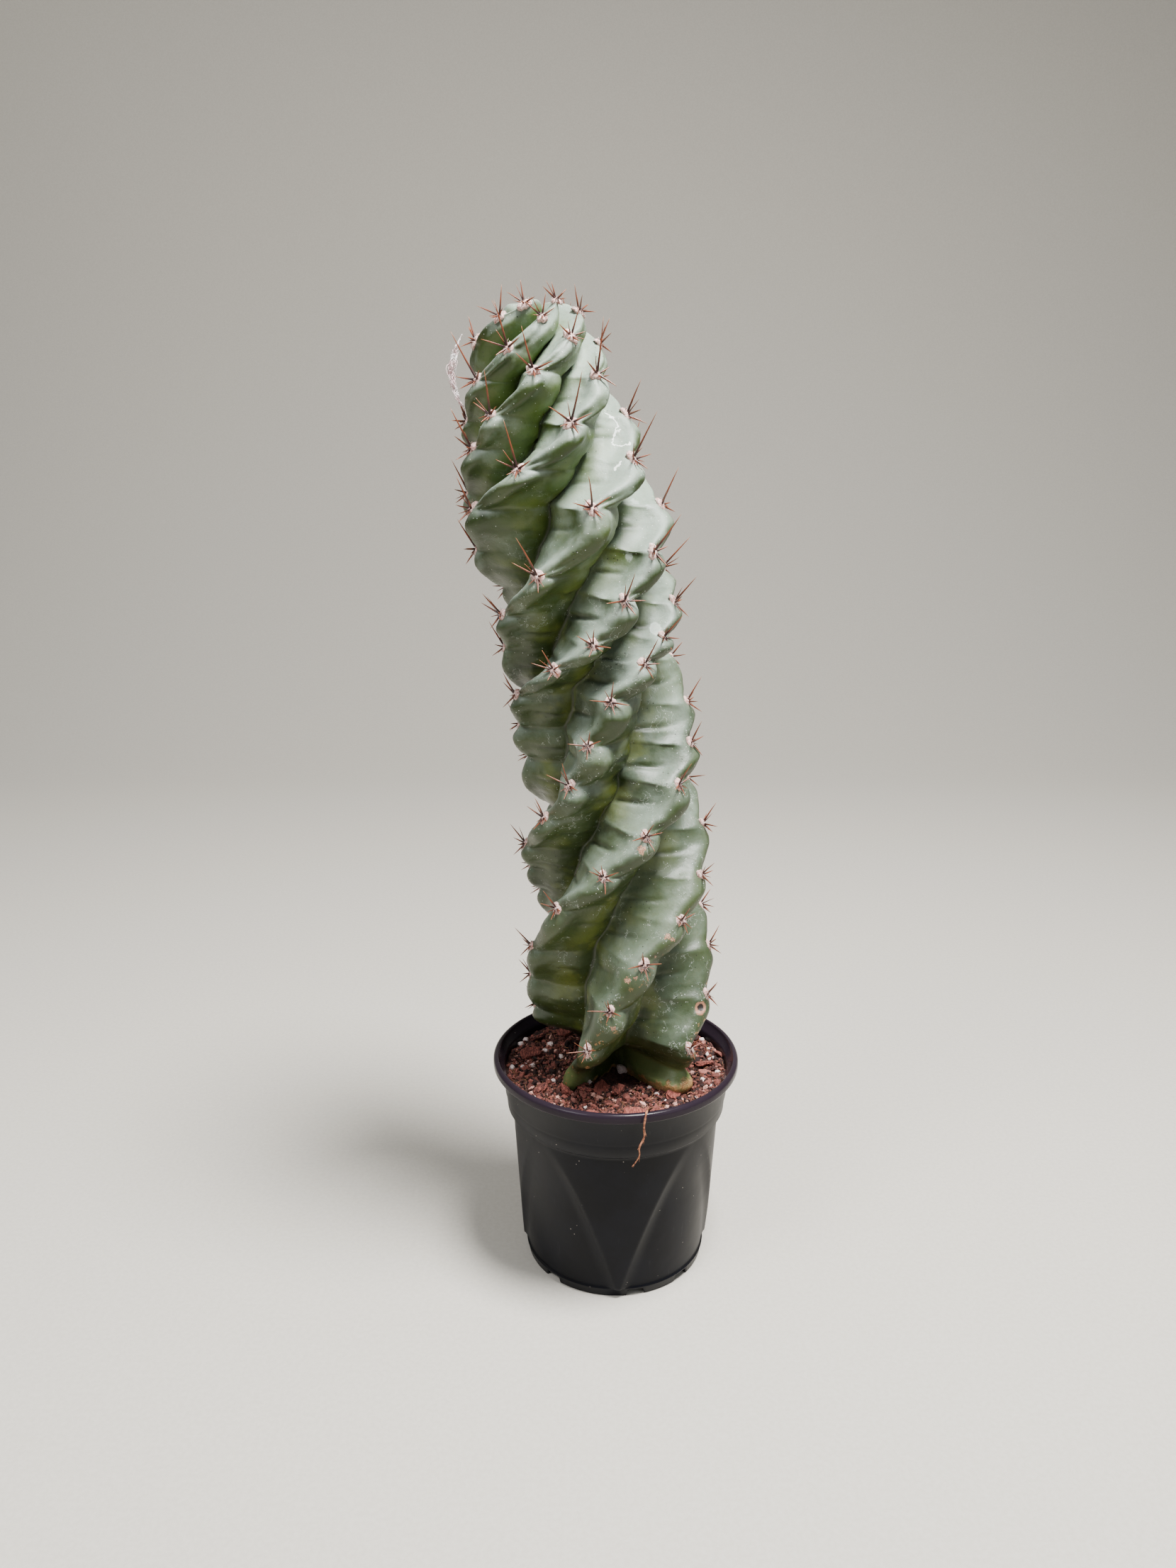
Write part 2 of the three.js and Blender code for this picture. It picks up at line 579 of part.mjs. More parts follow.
function makeRoot() {
  const route = new THREE.CatmullRomCurve3(ROOT_ROUTE.map((point) => new THREE.Vector3(...point)));
  const section = new THREE.Shape();
  for (let i = 0; i < ROOT_SIDES; i += 1) {
    const angle = (i * 2 * Math.PI) / ROOT_SIDES;
    section[i ? "lineTo" : "moveTo"](ROOT_RADIUS * Math.cos(angle), ROOT_RADIUS * Math.sin(angle));
  }
  section.closePath();
  return solid(new THREE.ExtrudeGeometry(section, { steps: ROOT_STEPS, extrudePath: route }));
}

function named(name, body, color, roughness) {
  const material = new THREE.MeshStandardMaterial({ color, roughness, metalness: 0 });
  const mesh = new THREE.Mesh(geometryOf(body), material);
  mesh.name = name;
  return mesh;
}

const plant = new THREE.Group();
plant.add(named("pot", makePot(), 0x35353a, 0.5));
plant.add(named("potting_soil", makeSoil(), 0x6b3f30, 1));
plant.add(named("cactus_stem", makeStem(), 0x6f8a6b, 0.6));
plant.add(named("loose_root", makeRoot(), 0xb98f6c, 0.8));

// The origin lies on the ground under the middle of the whole plant's box
const middle = new THREE.Box3().setFromObject(plant).getCenter(new THREE.Vector3());
plant.position.set(-middle.x, -middle.y, 0);
plant.updateMatrixWorld(true);

export default plant;
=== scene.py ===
import math

import bmesh
import bpy
import numpy as np
from mathutils import Matrix, Vector, noise


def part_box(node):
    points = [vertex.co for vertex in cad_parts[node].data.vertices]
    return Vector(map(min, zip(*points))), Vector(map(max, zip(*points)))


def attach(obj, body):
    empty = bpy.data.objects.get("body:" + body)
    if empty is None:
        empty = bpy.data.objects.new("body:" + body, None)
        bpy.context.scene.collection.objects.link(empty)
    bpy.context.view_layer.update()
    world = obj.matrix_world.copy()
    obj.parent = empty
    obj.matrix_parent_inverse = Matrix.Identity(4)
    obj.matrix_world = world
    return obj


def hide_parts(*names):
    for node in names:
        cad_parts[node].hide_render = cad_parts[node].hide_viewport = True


# Potted spiral cactus: a leaning stem with five spiral ribs in a round nursery pot.
# Shapes are worked out in millimetres from the pot's axis and its foot, +Z up. Azimuths are in degrees,
# 0 at the front (-Y), growing to the right (+X). A level is a height along the stem.

MM = 0.001

# Pot
POT_HEIGHT = 107
RIM_RADIUS = 60
BEAD_FOOT_Z = 102.4
BAND_RADIUS = 55.6
BAND_FOOT_Z = 88
STEP_RADIUS = BAND_RADIUS - 2.2
STEP_Z = 81.5
BODY_TOP_Z = 80
BODY_TOP_RADIUS = 50.8
BODY_FOOT_RADIUS = 46.4
LEDGE_Z = 5
FOOT_RADIUS = 44
FOOT_WALL = 2
FLOOR_Z = 6.6
WALL = 1.2
PANEL_DEPTH = 2.2
PANEL_HALF_ANGLE = 44
PANEL_AZIMUTHS = [46, 136, 226, 316]
PANEL_SPREAD = 0.62
PANEL_EDGE_ANGLE = 9
FOOT_NOTCH_AZIMUTHS = [12, -44, 46, 102, 136, 192, 226]
FOOT_NOTCH_WIDTH = 8
FOOT_NOTCH_HEIGHT = 3
DRAIN_HOLE_RADIUS = 3.5
DRAIN_HOLE_RING = 29
DRAIN_HOLE_COUNT = 6
DRAIN_HOLE_TURN = 20
RIM_WAVE = 0.16
WAVE_HEIGHTS = [88, 106]
POT_COLUMNS = 360

# Soil
SOIL_TOP_Z = 96
SOIL_EDGE_RADIUS = 54
SOIL_EDGE_RISE = 2.2
SOIL_RIPPLE = 0.8
SOIL_MIDDLE_DROP = 1.4
SOIL_LUMPS = [[3.4, 3, 5.0, 1.0], [9, 2, 2.0, 0.6]]
SOIL_RING_OUTER = 53
SOIL_COLUMNS = 260
CRUMB_COUNT = 6000
CRUMB_SIZES = [0.35, 0.85]
CRUMB_LIFTS = [0.1, 1.1]
LARGE_CRUMB_SHARE = 0.2
LARGE_CRUMB_SIZES = [0.8, 1.9]
FIBRE_COUNT = 800
FIBRE_LENGTHS = [3, 11]
FIBRE_RADII = [0.07, 0.16]
FIBRE_LIFT = 0.9
PERLITE_COUNT = 20
PERLITE_SIZES = [0.7, 1.5]
PERLITE_LIFTS = [0.7, 0.4]
BARK_COUNT = 26
BARK_LENGTHS = [2.2, 5]
BARK_LIFTS = [2.1, 0.4]
BARK_TILT = 1.1

# Kinds of lumps: limits of the shares of their size along each axis, which random draws they take,
# roughness, and how far their sides are drawn flat like a broken chip's
CRUMB = {"draw": 304, "seed": 0, "rough": 0.5, "square": 0.35, "shares": [(0.8, 1.7), (1, 1), (0.5, 0.9)]}
GRAIN = {"draw": 323, "seed": 900, "rough": 0.28, "square": 0,
         "shares": [(0.9, 1.25), (1, 1), (0.7, 0.95)]}
CHIP = {"draw": 333, "seed": 700, "rough": 0.3, "square": 0.7,
        "shares": [(1, 1), (0.45, 0.8), (0.18, 0.34)]}

# Perlite grains and bark chips that show at the front: [x, y, size]
PERLITE_PLACES = [[-48, 22, 1.7], [-46, 27, 1.6], [-33, 25.5, 1.5], [-35.5, 20, 1.4], [-27, 14, 1.4],
                  [-51, -1, 1.5], [-31, -9.5, 1.8], [3, 1, 2.6], [-13, -11, 1.6], [16, -17, 1.5],
                  [19, -22, 1.6], [22, -28.5, 1.3], [-15, -35, 1.4], [45, 27, 1.5], [50, -6, 1.5],
                  [42, -11, 1.3], [47, 14, 1.4]]
BARK_PLACES = [[-42, 13, 9], [-26, 35, 6], [-40, 29, 7.2], [-24, -21, 6.6], [-7, -17, 8.4], [0, -21, 5.4],
               [27, -25, 7.2], [-15, -19, 6], [-36, -22, 7.2], [8, -44, 8.4], [-12, -44, 6], [44, 2, 7.2]]

# Stem
PLUG_RADIUS = 14
PLUG_TOP_LEVELS = [88, 91]
PLUG_LEVELS = [74, 86, 88]
FOOT_LEVEL = 92
TIP_LEVEL = 463
TIP_Z = 446
# Usual rise from one areole to the next, and the longest gap without hidden ones, in such steps
AREOLE_STEP = 17
LONGEST_GAP = 1.7
CREST_ROUNDING = 0.19
EVEN_RIB_ANGLE = 66
CLOSE_RIB_POWER = 0.7
# Swelling below an areole and pinch above it: [share of the way to the next areole, width]
CHIN_BUMP = [0.64, 0.24]
PINCH_BUMP = [0.12, 0.14]
PINCH_SHARE = 0.53
CHIN_FALL = 3
AREOLE_TILT = 0.3
SWAY_FULLNESS = 0.8
SWAY_GAP_SHARES = [0.6, 1.6]
FLANK_SKEW = 0.28
TOE_EDGE = [0.1, 0.5]
TOE_LEVELS = [100, 126]
# Rows of the mesh: first level, end and step
ROW_LEVELS = [89.5, 461.5, 0.9]
COLUMNS_PER_RIB = 44
SEAM_DROP = 8
SEAM_TURN = 0.15
SEAM_SLOPE = 3
SEAM_WIDTH = 0.95
SEAM_DEPTH = 1.3
SEAM_REACH = [0.28, 0.6]
SEAM_END = [0.86, 1]
SWELLING = 0.8
SWELLING_FULLNESS = 0.7
SWELLING_REACH = [(0.02, 0.16), (0.6, 0.95)]
RIGHT_FLANK_FOLDS = 0.55
# Rolled edge of a crest and the hollow beside it: [millimetres, way down the flank, width]
ROLL = [1.6, 0.16, 0.12]
GUTTER = [1.5, 0.43, 0.17]
LEFT_ROLL_SHARE = 0.8
RIGHT_GUTTER_SHARE = 0.45
CROWN_SWELLING = 2.2
CROWN_REACH = [0.12, 0.45]
LEFT_CROWN_SHARE = 0.3
# Swelling of the thick toe at the right and the crease above it: [millimetres, level, width]
TOE_SWELLING = [3.2, 102, 4]
TOE_CREASE = [1.4, 109.5, 1.6]
TOE_TILT = 0.06
TOE_X = [4, 14]
TOE_Y = [0, 12]
# Rounded tip of the thin toe at the left: place, radius, radius of its painted light and swelling
FINGER_TIP = (-23, -18.5, 99.5)
FINGER_RADIUS = 6.5
FINGER_PAINTED_LIGHT_RADIUS = 14
FINGER_SWELLING = 3
# Slopes of what fades in and out up the stem: [levels of the rise, levels of the fall]
SWELLING_LEVELS = [(112, 124), (436, 450)]
ROLL_LEVELS = [(112, 130), (425, 445)]
CROWN_LEVELS = [(400, 420), (438, 452)]
UNEVEN_LEVELS = [(96, 106), (440, 458)]
# Fine lumps of the skin: [size, octaves, seed, height]
SKIN_LUMPS = [[14, 3, 3.1, 0.55], [3.2, 2, 8.4, 0.16]]

# Ribs in the order that they stand round the stem: azimuths of the crest at the foot and at the tip, how
# far the foot reaches out, the levels over which it grows, and the areoles, each [level, azimuth]
RIBS = [
    {"foot": -252, "tip": 385, "foot_reach": 17, "foot_rise": [101, 120], "areoles": [
        [135, -221], [226, -139], [253, -115], [270, -98], [287, -72], [302, -26], [313, 2], [331, 26],
        [350, 54], [368, 87], [435, 277], [444, 318], [450, 346]]},
    {"foot": -192, "tip": 440, "foot_reach": 17, "foot_rise": [101, 120], "areoles": [
        [131, -163], [185, -121], [215, -86], [235, -48], [252, -26], [270, -11], [289, 7], [304, 33],
        [314, 53], [327, 77], [340, 113], [418, 304], [430, 336], [443, 368], [453, 400]]},
    {"foot": -124, "tip": 490, "foot_reach": 17, "foot_rise": [101, 120], "areoles": [
        [126, -108], [146, -96], [167, -76], [194, -41], [212, -8], [230, 19], [250, 48], [265, 74],
        [281, 93], [299, 117], [391, 296], [404, 320], [421, 357], [435, 394], [448, 440]]},
    {"foot": -52, "tip": 560, "foot_reach": 34.5, "foot_rise": [97, 130], "areoles": [
        [128, -21], [149, -7], [171, 14], [188, 42], [204, 68], [223, 93], [367, 296], [383, 338],
        [401, 377], [420, 411], [434, 456], [446, 500]]},
    {"foot": 46, "tip": 635, "foot_reach": 43, "foot_rise": [97, 122], "areoles": [
        [123, 49], [143, 73], [163, 90], [226, 165], [253, 195], [280, 228], [306, 267], [323, 296],
        [341, 338], [368, 377], [387, 422], [405, 452], [420, 497], [435, 547]]},
]

# Marks on the skin at the front: [place, radius], or the places that a crack passes. The first two values
# are how much depth counts in the distance to a mark and to a crack, the third how far a crack wanders.
MARK_DEPTH = 0.3
CRACK_DEPTH = 0.06
CRACK_WANDER = 3.2
RING_SCARS = [[(15.3, -20.3, 317.4), 2.4], [(-20.4, -37.9, 270), 2.2]]
SCUFFS = [[(6.5, -7.7, 369.9), 1.8], [(12.2, -8, 367.6), 1.2], [(3.4, -24.8, 348.1), 2.0]]
CORK_SPOTS = [[(9.2, -41.2, 224.9), 2.0], [(21.6, -35.9, 182.8), 1.3], [(24.2, -36.7, 181.5), 1.1],
              [(16.4, -38.3, 174), 0.7], [(3.9, -41.3, 164.1), 1.4], [(7.6, -42.6, 165.7), 1.0],
              [(-2.3, -44.3, 142), 1.3], [(34.9, -27.1, 119), 1.2]]
SCAB = (39.2, -17.6, 138.9)
SCAB_RADIUS = 2.0
SCAB_DEPTH = 1.4
CRACKS = [
    [(-6.6, -2.6, 406.4), (-2.1, -5, 402.9), (-1.4, -6.7, 400.8), (-2.2, -8.8, 397.1),
     (-3.9, -11.8, 393.6)],
    [(-1.8, -8.1, 398.8), (0.5, -7.1, 398.9)],
    [(-3.1, -11.9, 393.4), (-0.4, -11.7, 392.6), (4.1, -9.4, 393.3)],
    [(0, -20.3, 386), (-3, -23.3, 383.2)],
]

# Spines of an areole: [lean from its normal, turn from straight up (left is positive), shortest, longest]
MAIN_SPINES = [[60, -85, 6, 9], [38, 4, 13, 22], [62, 80, 8, 12], [58, 180, 6, 9]]
SMALL_SPINES = [[66, 128, 3.5, 6], [66, -132, 3.5, 6], [48, 42, 6, 10]]
SPINE_LEAN_SPREAD = 16
SPINE_TURN_SPREAD = 44
# Which spine is the long one, and the power of the growth up the stem that the others take
LONG_SPINE = 1
SIDE_SPINE_GROWTH = 0.25
SPINE_RADIUS = 0.5
SMALL_SPINE_WIDTH = 0.66
# Along a spine: [share of its length, share of its radius]
SPINE_TAPER = [[-0.06, 0.9], [0, 1.15], [0.05, 1], [0.2, 0.86], [0.42, 0.72], [0.68, 0.5], [0.88, 0.28],
               [1, 0.06]]
# Half width and half height of a felt pad, and its rows as shares of them: [reach, millimetres of rise]
PAD_SIZE = [2.5, 3]
PAD_ROWS = [[1.12, -0.9], [1.06, 0.25], [0.86, 0.85], [0.55, 1.25], [0.22, 1.42]]
PAD_TOP = 1.5
PAD_COLUMNS = 14
HAIRS_PER_PAD = 16
HAIR_LENGTHS = [0.7, 1.9]
HAIR_LEAN = 1.8
HAIR_RADII = [0.09, 0.07, 0.03]

# Loose root strand over the rim, and its hair roots
ROOT_RADIUS = 0.5
ROOT_HAIR_COUNT = 9
ROOT_HAIR_LENGTHS = [1, 2.5]
ROOT_HAIR_RADII = [0.16, 0.13, 0.1, 0.05]
ROOT_ROUTE = [[16, -45.2, 98.2], [15.1, -48.2, 99.4], [14.1, -51.9, 103.4], [13.4, -55, 107.9],
              [12.7, -57.7, 108.7], [11.8, -60.9, 107], [11.2, -61.3, 102], [11.4, -60.7, 97],
              [9.3, -61, 92], [9.4, -60.2, 87.4], [7.8, -59.7, 83.6], [6.2, -59.2, 81]]

# Web threads at the upper left, as a route of [x, y, z]
WEB_ROUTE = [[-64.6, -14, 436], [-67.9, -14, 429], [-69.4, -14, 421], [-67.9, -14, 413],
             [-62.5, -14, 405]]
WEB_WIDTH = 2.1
WEB_THREADS = 30
WEB_RADII = [0.09, 0.16]

# Colours, as linear red, green and blue; a pair is blended from its first to its second
BODY_GREENS = [(0.018, 0.031, 0.005), (0.038, 0.056, 0.014)]
OLIVE = (0.085, 0.105, 0.018)
YOUNG_GREEN = (0.075, 0.125, 0.022)
# Brighter green painted on the toes as light
TOE_PAINTED_LIGHT_GREEN = (0.16, 0.21, 0.07)
# Pale grey of the bloom, laid on partly as painted light from above
BLOOM_AND_TOP_LIGHT_GREY = (0.33, 0.4, 0.345)
GRAIN_GREEN = (0.035, 0.06, 0.02)
# Painted shade in the creases of the flanks
CREASE_SHADE_GREEN = (0.016, 0.024, 0.008)
# Painted shade at the bottom of the furrows
FURROW_SHADE_GREEN = (0.022, 0.03, 0.01)
LINE_GREY = (0.42, 0.46, 0.4)
SPECK_WHITE = (0.55, 0.58, 0.52)
PIT_BLACK = (0.014, 0.016, 0.009)
FOOT_CORK = [(0.2, 0.085, 0.03), (0.5, 0.3, 0.13)]
SPOT_CORK = [(0.2, 0.08, 0.04), (0.5, 0.3, 0.2)]
RING_SCAR_GREY = (0.6, 0.66, 0.6)
SCUFF_GREY = (0.45, 0.52, 0.48)
CRACK_WHITE = (0.74, 0.78, 0.72)
SCAB_BROWN = (0.3, 0.14, 0.08)
SCAB_BLACK = (0.012, 0.008, 0.006)
WOOL_PINKS = [(0.42, 0.2, 0.16), (0.86, 0.69, 0.64)]
WOOL_GAP_BROWN = (0.2, 0.05, 0.03)
SPINE_BROWNS = [(0.024, 0.005, 0.004), (0.17, 0.04, 0.013)]
SPINE_TIP_BROWN = (0.32, 0.12, 0.05)
POT_BLACKS = [(0.001, 0.0013, 0.003), (0.003, 0.0036, 0.0068)]
# Painted violet reflection on the pot's rim
RIM_REFLECTION_VIOLET = (0.03, 0.019, 0.028)
SCRATCH_GREY = (0.05, 0.05, 0.052)
DUST_GREY = (0.34, 0.3, 0.27)
MIX_BROWNS = [(0.014, 0.004, 0.003), (0.085, 0.028, 0.021)]
COIR_BROWNS = [(0.12, 0.045, 0.02), (0.36, 0.17, 0.08)]
CRUMB_BROWNS = [(0.011, 0.0028, 0.0022), (0.25, 0.075, 0.056)]
# Pale colour of a few crumbs, painted as highlights
PALE_CRUMB_HIGHLIGHT = (0.58, 0.31, 0.25)
CRUMB_SHADE = (0.05, 0.014, 0.01)
PERLITE_PINKS = [(0.32, 0.19, 0.17), (0.74, 0.6, 0.57)]
BARK_REDS = [(0.03, 0.006, 0.005), (0.13, 0.028, 0.02)]
BARK_FIBRE_RED = (0.3, 0.085, 0.06)
ROOT_BROWNS = [(0.13, 0.04, 0.02), (0.42, 0.17, 0.085)]
WEB_WHITES = [(0.62, 0.46, 0.46), (0.92, 0.9, 0.9)]
FLOOR_CREAMS = [(0.52, 0.49, 0.43), (0.56, 0.53, 0.47)]

# Greatest share of the pale bloom and its painted light from above, and heights in metres between which
# the tone of skin or pot changes
BLOOM_AND_TOP_LIGHT_LIMIT = 0.58
BLOOM_AND_TOP_LIGHT_HEIGHTS = [0.1, 0.46]
YOUNG_HEIGHTS = [0.3, 0.42]
LINE_FADE_HEIGHTS = [0.28, 0.4]
CORK_HEIGHTS = [0.2, 0.11]
# Heights of the painted light on the thick toe
TOE_PAINTED_LIGHT_HEIGHTS = [0.114, 0.108]
FOOT_CORK_HEIGHTS = [0.0985, 0.0965]
# Heights of the rim's glossier finish and its painted violet reflection
RIM_HEIGHTS = [0.0995, 0.1035]

# Studio light: [name, place, size, power, colour], in metres and watts
LIGHTS = [
    ["key", (0.24, -0.2, 1.16), 0.34, 44, (1.0, 0.99, 0.98)],
    ["window", (1.1, -0.9, 0.8), 0.8, 2.5, (0.88, 0.95, 1.0)],
    ["room", (-0.8, -0.7, 1.25), 0.6, 12, (0.97, 0.98, 1.0)],
]
LIGHT_TARGET = (0, 0, 0.2)
WORLD_COLOR = (0.88, 0.9, 0.92)
WORLD_STRENGTH = 0.4

# Floor in metres: half width, front edge, where it starts to bend up, radius of the bend and top
FLOOR_HALF_WIDTH = 9
FLOOR_FRONT = -6
BEND_START = 0.9
BEND_RADIUS = 0.8
BACKDROP_TOP = 6

# Camera of the photograph, from the pot's axis and foot
CAMERA_PLACE = [-13.6, -522.5, 388.2]
CAMERA_PITCH = 15.54
CAMERA_LENS = 27.03
CAMERA_SENSOR = 36


def chance(a, b):
    """Repeatable random number from 0 to 1; a is a seed, and b tells its uses apart."""
    wave = math.sin(a * 12.9898 + b * 78.233) * 43758.5453
    return wave - math.floor(wave)


def spread(a, b, width):
    """Repeatable random number within half a width of 0."""
    return (chance(a, b) - 0.5) * width


def mix(a, b, share):
    return a + (b - a) * share


def smoothstep(x, low, high):
    t = np.clip((np.asarray(x, float) - low) / (high - low), 0, 1)
    return t * t * (3 - 2 * t)


def window(x, rise, fall):
    """1 between a rise and a fall, each [start, end], and 0 outside them."""
    return smoothstep(x, *rise) * (1 - smoothstep(x, *fall))


def curve(points):
    """Smooth curve through [x, y] points that never overshoots them."""
    xs, ys = np.array(points, float).T
    slopes = np.diff(ys) / np.diff(xs)
    before = np.concatenate([slopes[:1], slopes])
    after = np.concatenate([slopes, slopes[-1:]])
    same_way = before * after > 0
    tangents = np.where(same_way, 2 * before * after / np.where(same_way, before + after, 1), 0)

    def value(x):
        x = np.asarray(x, float)
        i = np.clip(np.searchsorted(xs, x) - 1, 0, len(xs) - 2)
        span = xs[i + 1] - xs[i]
        t = np.clip((x - xs[i]) / span, 0, 1)
        blend = t * t * (3 - 2 * t)
        bend = tangents[i] * (t ** 3 - 2 * t ** 2 + t) + tangents[i + 1] * (t ** 3 - t ** 2)
        return mix(ys[i], ys[i + 1], blend) + span * bend

    return value


def around(radius, azimuth, z, centre=(0.0, 0.0)):
    """Points at a radius and azimuth round a centre, as an array with x, y, z last."""
    angle = np.radians(azimuth)
    x = centre[0] + radius * np.sin(angle)
    y = centre[1] - radius * np.cos(angle)
    return np.stack(np.broadcast_arrays(x, y, z), -1)


def fractal(points, scale, octaves, seed):
    """Fractal noise from about -1 to 1 at each point; scale is the size of its largest lumps."""
    shift = Vector((seed, seed * 1.7, -seed))
    return np.array([noise.fractal(Vector(p) / scale + shift, 1.0, 2.0, octaves) for p in points])


def lumpiness(points, coats):
    """Height of several coats of lumps, each [size, octaves, seed, height]."""
    return sum(fractal(points, size, octaves, seed) * height for size, octaves, seed, height in coats)


# Shape of the stem: curves through [level, value] points

axis_x = curve([[60, 1.5], [150, 1.5], [186, 0.3], [230, -2], [281, -7.6], [319, -14], [361, -22.8],
                [388, -28.2], [410, -32], [430, -34.5], [463, -35.5]])
axis_y = curve([[60, 0], [88, 0], [92, 9], [105, 9], [120, 0], [463, 0]])
crest_radius = curve([[60, 42.5], [150, 43], [186, 42], [230, 41.5], [281, 39], [320, 40], [361, 43],
                      [388, 37.5], [410, 33], [430, 27], [440, 23.5], [448, 18], [455, 11.5], [460, 5],
                      [463, 0]])
crest_height = curve([[60, 60], [410, 410], [420, 420], [430, 429.6], [440, 439], [448, 445.5],
                      [455, 449.5], [460, 449.3], [463, TIP_Z]])
furrow_radius = curve([[60, 14], [88, 14], [92, 5], [104, 5], [120, 16], [140, 19], [180, 20],
                       [350, 20.5], [380, 19], [410, 16], [430, 12], [440, 9], [448, 6.5], [455, 3.5],
                       [460, 1.4], [463, 0]])
furrow_height = curve([[60, 60], [410, 410], [420, 419], [430, 426.5], [440, 433], [448, 438],
                       [455, 441.5], [460, 444.3], [463, TIP_Z]])
chin = curve([[98, 0], [118, 1.5], [200, 2.2], [240, 3], [400, 3], [440, 0], [463, 0]])
sway = curve([[98, 0], [118, 4], [200, 6], [240, 9], [415, 9], [450, 0], [463, 0]])
flank_hollow = curve([[60, 2.5], [104, 2.5], [140, 1.25], [330, 1.15], [380, 0.92], [463, 0.85]])
furrow_place = curve([[60, 0.45], [300, 0.45], [370, 0.58], [463, 0.5]])
folds = curve([[100, 0], [140, 0.05], [200, 0.25], [300, 0.5], [345, 0.25], [463, 0.15]])
creasing = curve([[108, 0], [125, 0.3], [180, 0.45], [230, 0.8], [310, 1], [350, 0.5], [420, 0.3],
                  [450, 0], [463, 0]])
spine_growth = curve([[90, 0.5], [300, 0.62], [350, 1], [425, 1], [436, 0.6], [450, 0.45]])


def axis(level):
    return axis_x(level), axis_y(level)


def trace_rib(rib):
    """A rib with its smooth azimuth along the stem and the levels of all its areoles."""
    areoles = rib["areoles"]
    levels = [areoles[0][0]]
    for level, _ in areoles[1:]:
        start = levels[-1]
        gap = level - start
        steps = round(gap / AREOLE_STEP) if gap > AREOLE_STEP * LONGEST_GAP else 1
        levels += [start + gap * (i + 1) / steps for i in range(steps)]
    azimuth = curve([[FOOT_LEVEL, rib["foot"]], *areoles, [TIP_LEVEL, rib["tip"]]])
    return {**rib, "azimuth": azimuth, "levels": np.array(levels, float)}


ribs = [trace_rib(rib) for rib in RIBS]


def crest_reach(rib, level):
    """Radius of a rib's crest, which starts from the plug in the soil and the foot's own reach."""
    foot = mix(PLUG_RADIUS, rib["foot_reach"], smoothstep(level, *PLUG_TOP_LEVELS))
    return mix(foot, crest_radius(level), smoothstep(level, *rib["foot_rise"]))


def neighbours(rib, level):
    """Levels of the areoles below and above, and whether a level is before the first or past the last."""
    levels = rib["levels"]
    following = np.searchsorted(levels, level, side="right")
    i = np.clip(following, 1, len(levels) - 1)
    return levels[i - 1], levels[i], following == 0, following == len(levels)


def phase(rib, level):
    """How far a level lies on the way from one areole of a rib to the next, from 0 to 1."""
    low, high, before, past = neighbours(rib, level)
    share = np.where(before, (level - rib["levels"][0]) / AREOLE_STEP % 1, (level - low) / (high - low))
    return np.where(past, (level - rib["levels"][-1]) / AREOLE_STEP % 1, share)


def bump(along, centre, width):
    """Bell curve that repeats from one areole to the next."""
    return sum(np.exp(-(((along - centre + turn) / width) ** 2)) for turn in (-1, 0, 1))


def chin_at(rib, level):
    """Swelling below each areole and pinch above it, in millimetres."""
    along = phase(rib, level)
    return chin(level) * (bump(along, *CHIN_BUMP) - PINCH_SHARE * bump(along, *PINCH_BUMP))


def gap_share(rib, level):
    """Length of the gap between the areoles on either side of a level, as a share of the usual step."""
    low, high, before, past = neighbours(rib, level)
    gap = np.where(before | past, AREOLE_STEP, high - low)
    return np.clip(gap / AREOLE_STEP, *SWAY_GAP_SHARES)


def crest_azimuth(rib, level):
    """Azimuth of a rib's crest, which swings out to the right between its areoles."""
    swing = np.sin(np.pi * phase(rib, level)) ** SWAY_FULLNESS
    return rib["azimuth"](level) + sway(level) * gap_share(rib, level) * swing


def flank_shape(across, way, level):
    """Share of the rib's depth that is left across its flank, from 1 at the crest to 0 in the furrow.

    The flank left of a crest is more hollow than the one right of it."""
    full = math.hypot(1, CREST_ROUNDING) - CREST_ROUNDING
    rounded = (np.hypot(way, CREST_ROUNDING) - CREST_ROUNDING) / full
    skew = np.where(across < 0.5, -FLANK_SKEW, FLANK_SKEW)
    share = (1 - rounded) ** (flank_hollow(level) + skew)
    toe = 1 - smoothstep(way, *TOE_EDGE)
    return mix(toe, share, smoothstep(level, *TOE_LEVELS))


def stem_points(index, across, level):
    """Surface points between the crest of one rib and the crest of the next."""
    rib = ribs[index]
    following = ribs[(index + 1) % len(ribs)]
    turn = 360 if index + 1 == len(ribs) else 0
    start = crest_azimuth(rib, level)
    end = crest_azimuth(following, level) + turn
    way = 1 - np.abs(across * 2 - 1)
    swollen = np.where(across < 0.5, chin_at(rib, level), chin_at(following, level))
    relief = np.minimum(1, ((end - start) / EVEN_RIB_ANGLE) ** CLOSE_RIB_POWER)
    crest = mix(crest_reach(rib, level), crest_reach(following, level), across)
    share = 1 - (1 - flank_shape(across, way, level)) * relief
    radius = mix(furrow_radius(level), crest, share) + swollen * (1 - way) ** CHIN_FALL
    height = mix(furrow_height(level), crest_height(level), share)
    furrow = furrow_place(level)
    reached = np.where(across < 0.5, across * 2 * furrow, furrow + (across * 2 - 1) * (1 - furrow))
    return around(radius, mix(start, end, reached), height, axis(level))


def areole_frame(rib, level):
    """Place of an areole on its crest, its outward normal, the side direction and its upward direction."""
    azimuth = crest_azimuth(rib, level)
    radius = crest_reach(rib, level) + chin_at(rib, level)
    place = around(radius, azimuth, crest_height(level), axis(level))
    rise = crest_height(level + 2) - crest_height(level - 2)
    shrink = crest_radius(level - 2) - crest_radius(level + 2)
    out = around(1, azimuth, 0.0)
    normal = out * rise + np.array([0, 0, shrink + rise * AREOLE_TILT])
    normal /= np.linalg.norm(normal)
    side = np.cross([0, 0, 1], out)
    side /= np.linalg.norm(side)
    up = np.cross(normal, side)
    return place, normal, side, up / np.linalg.norm(up)


# Mesh making

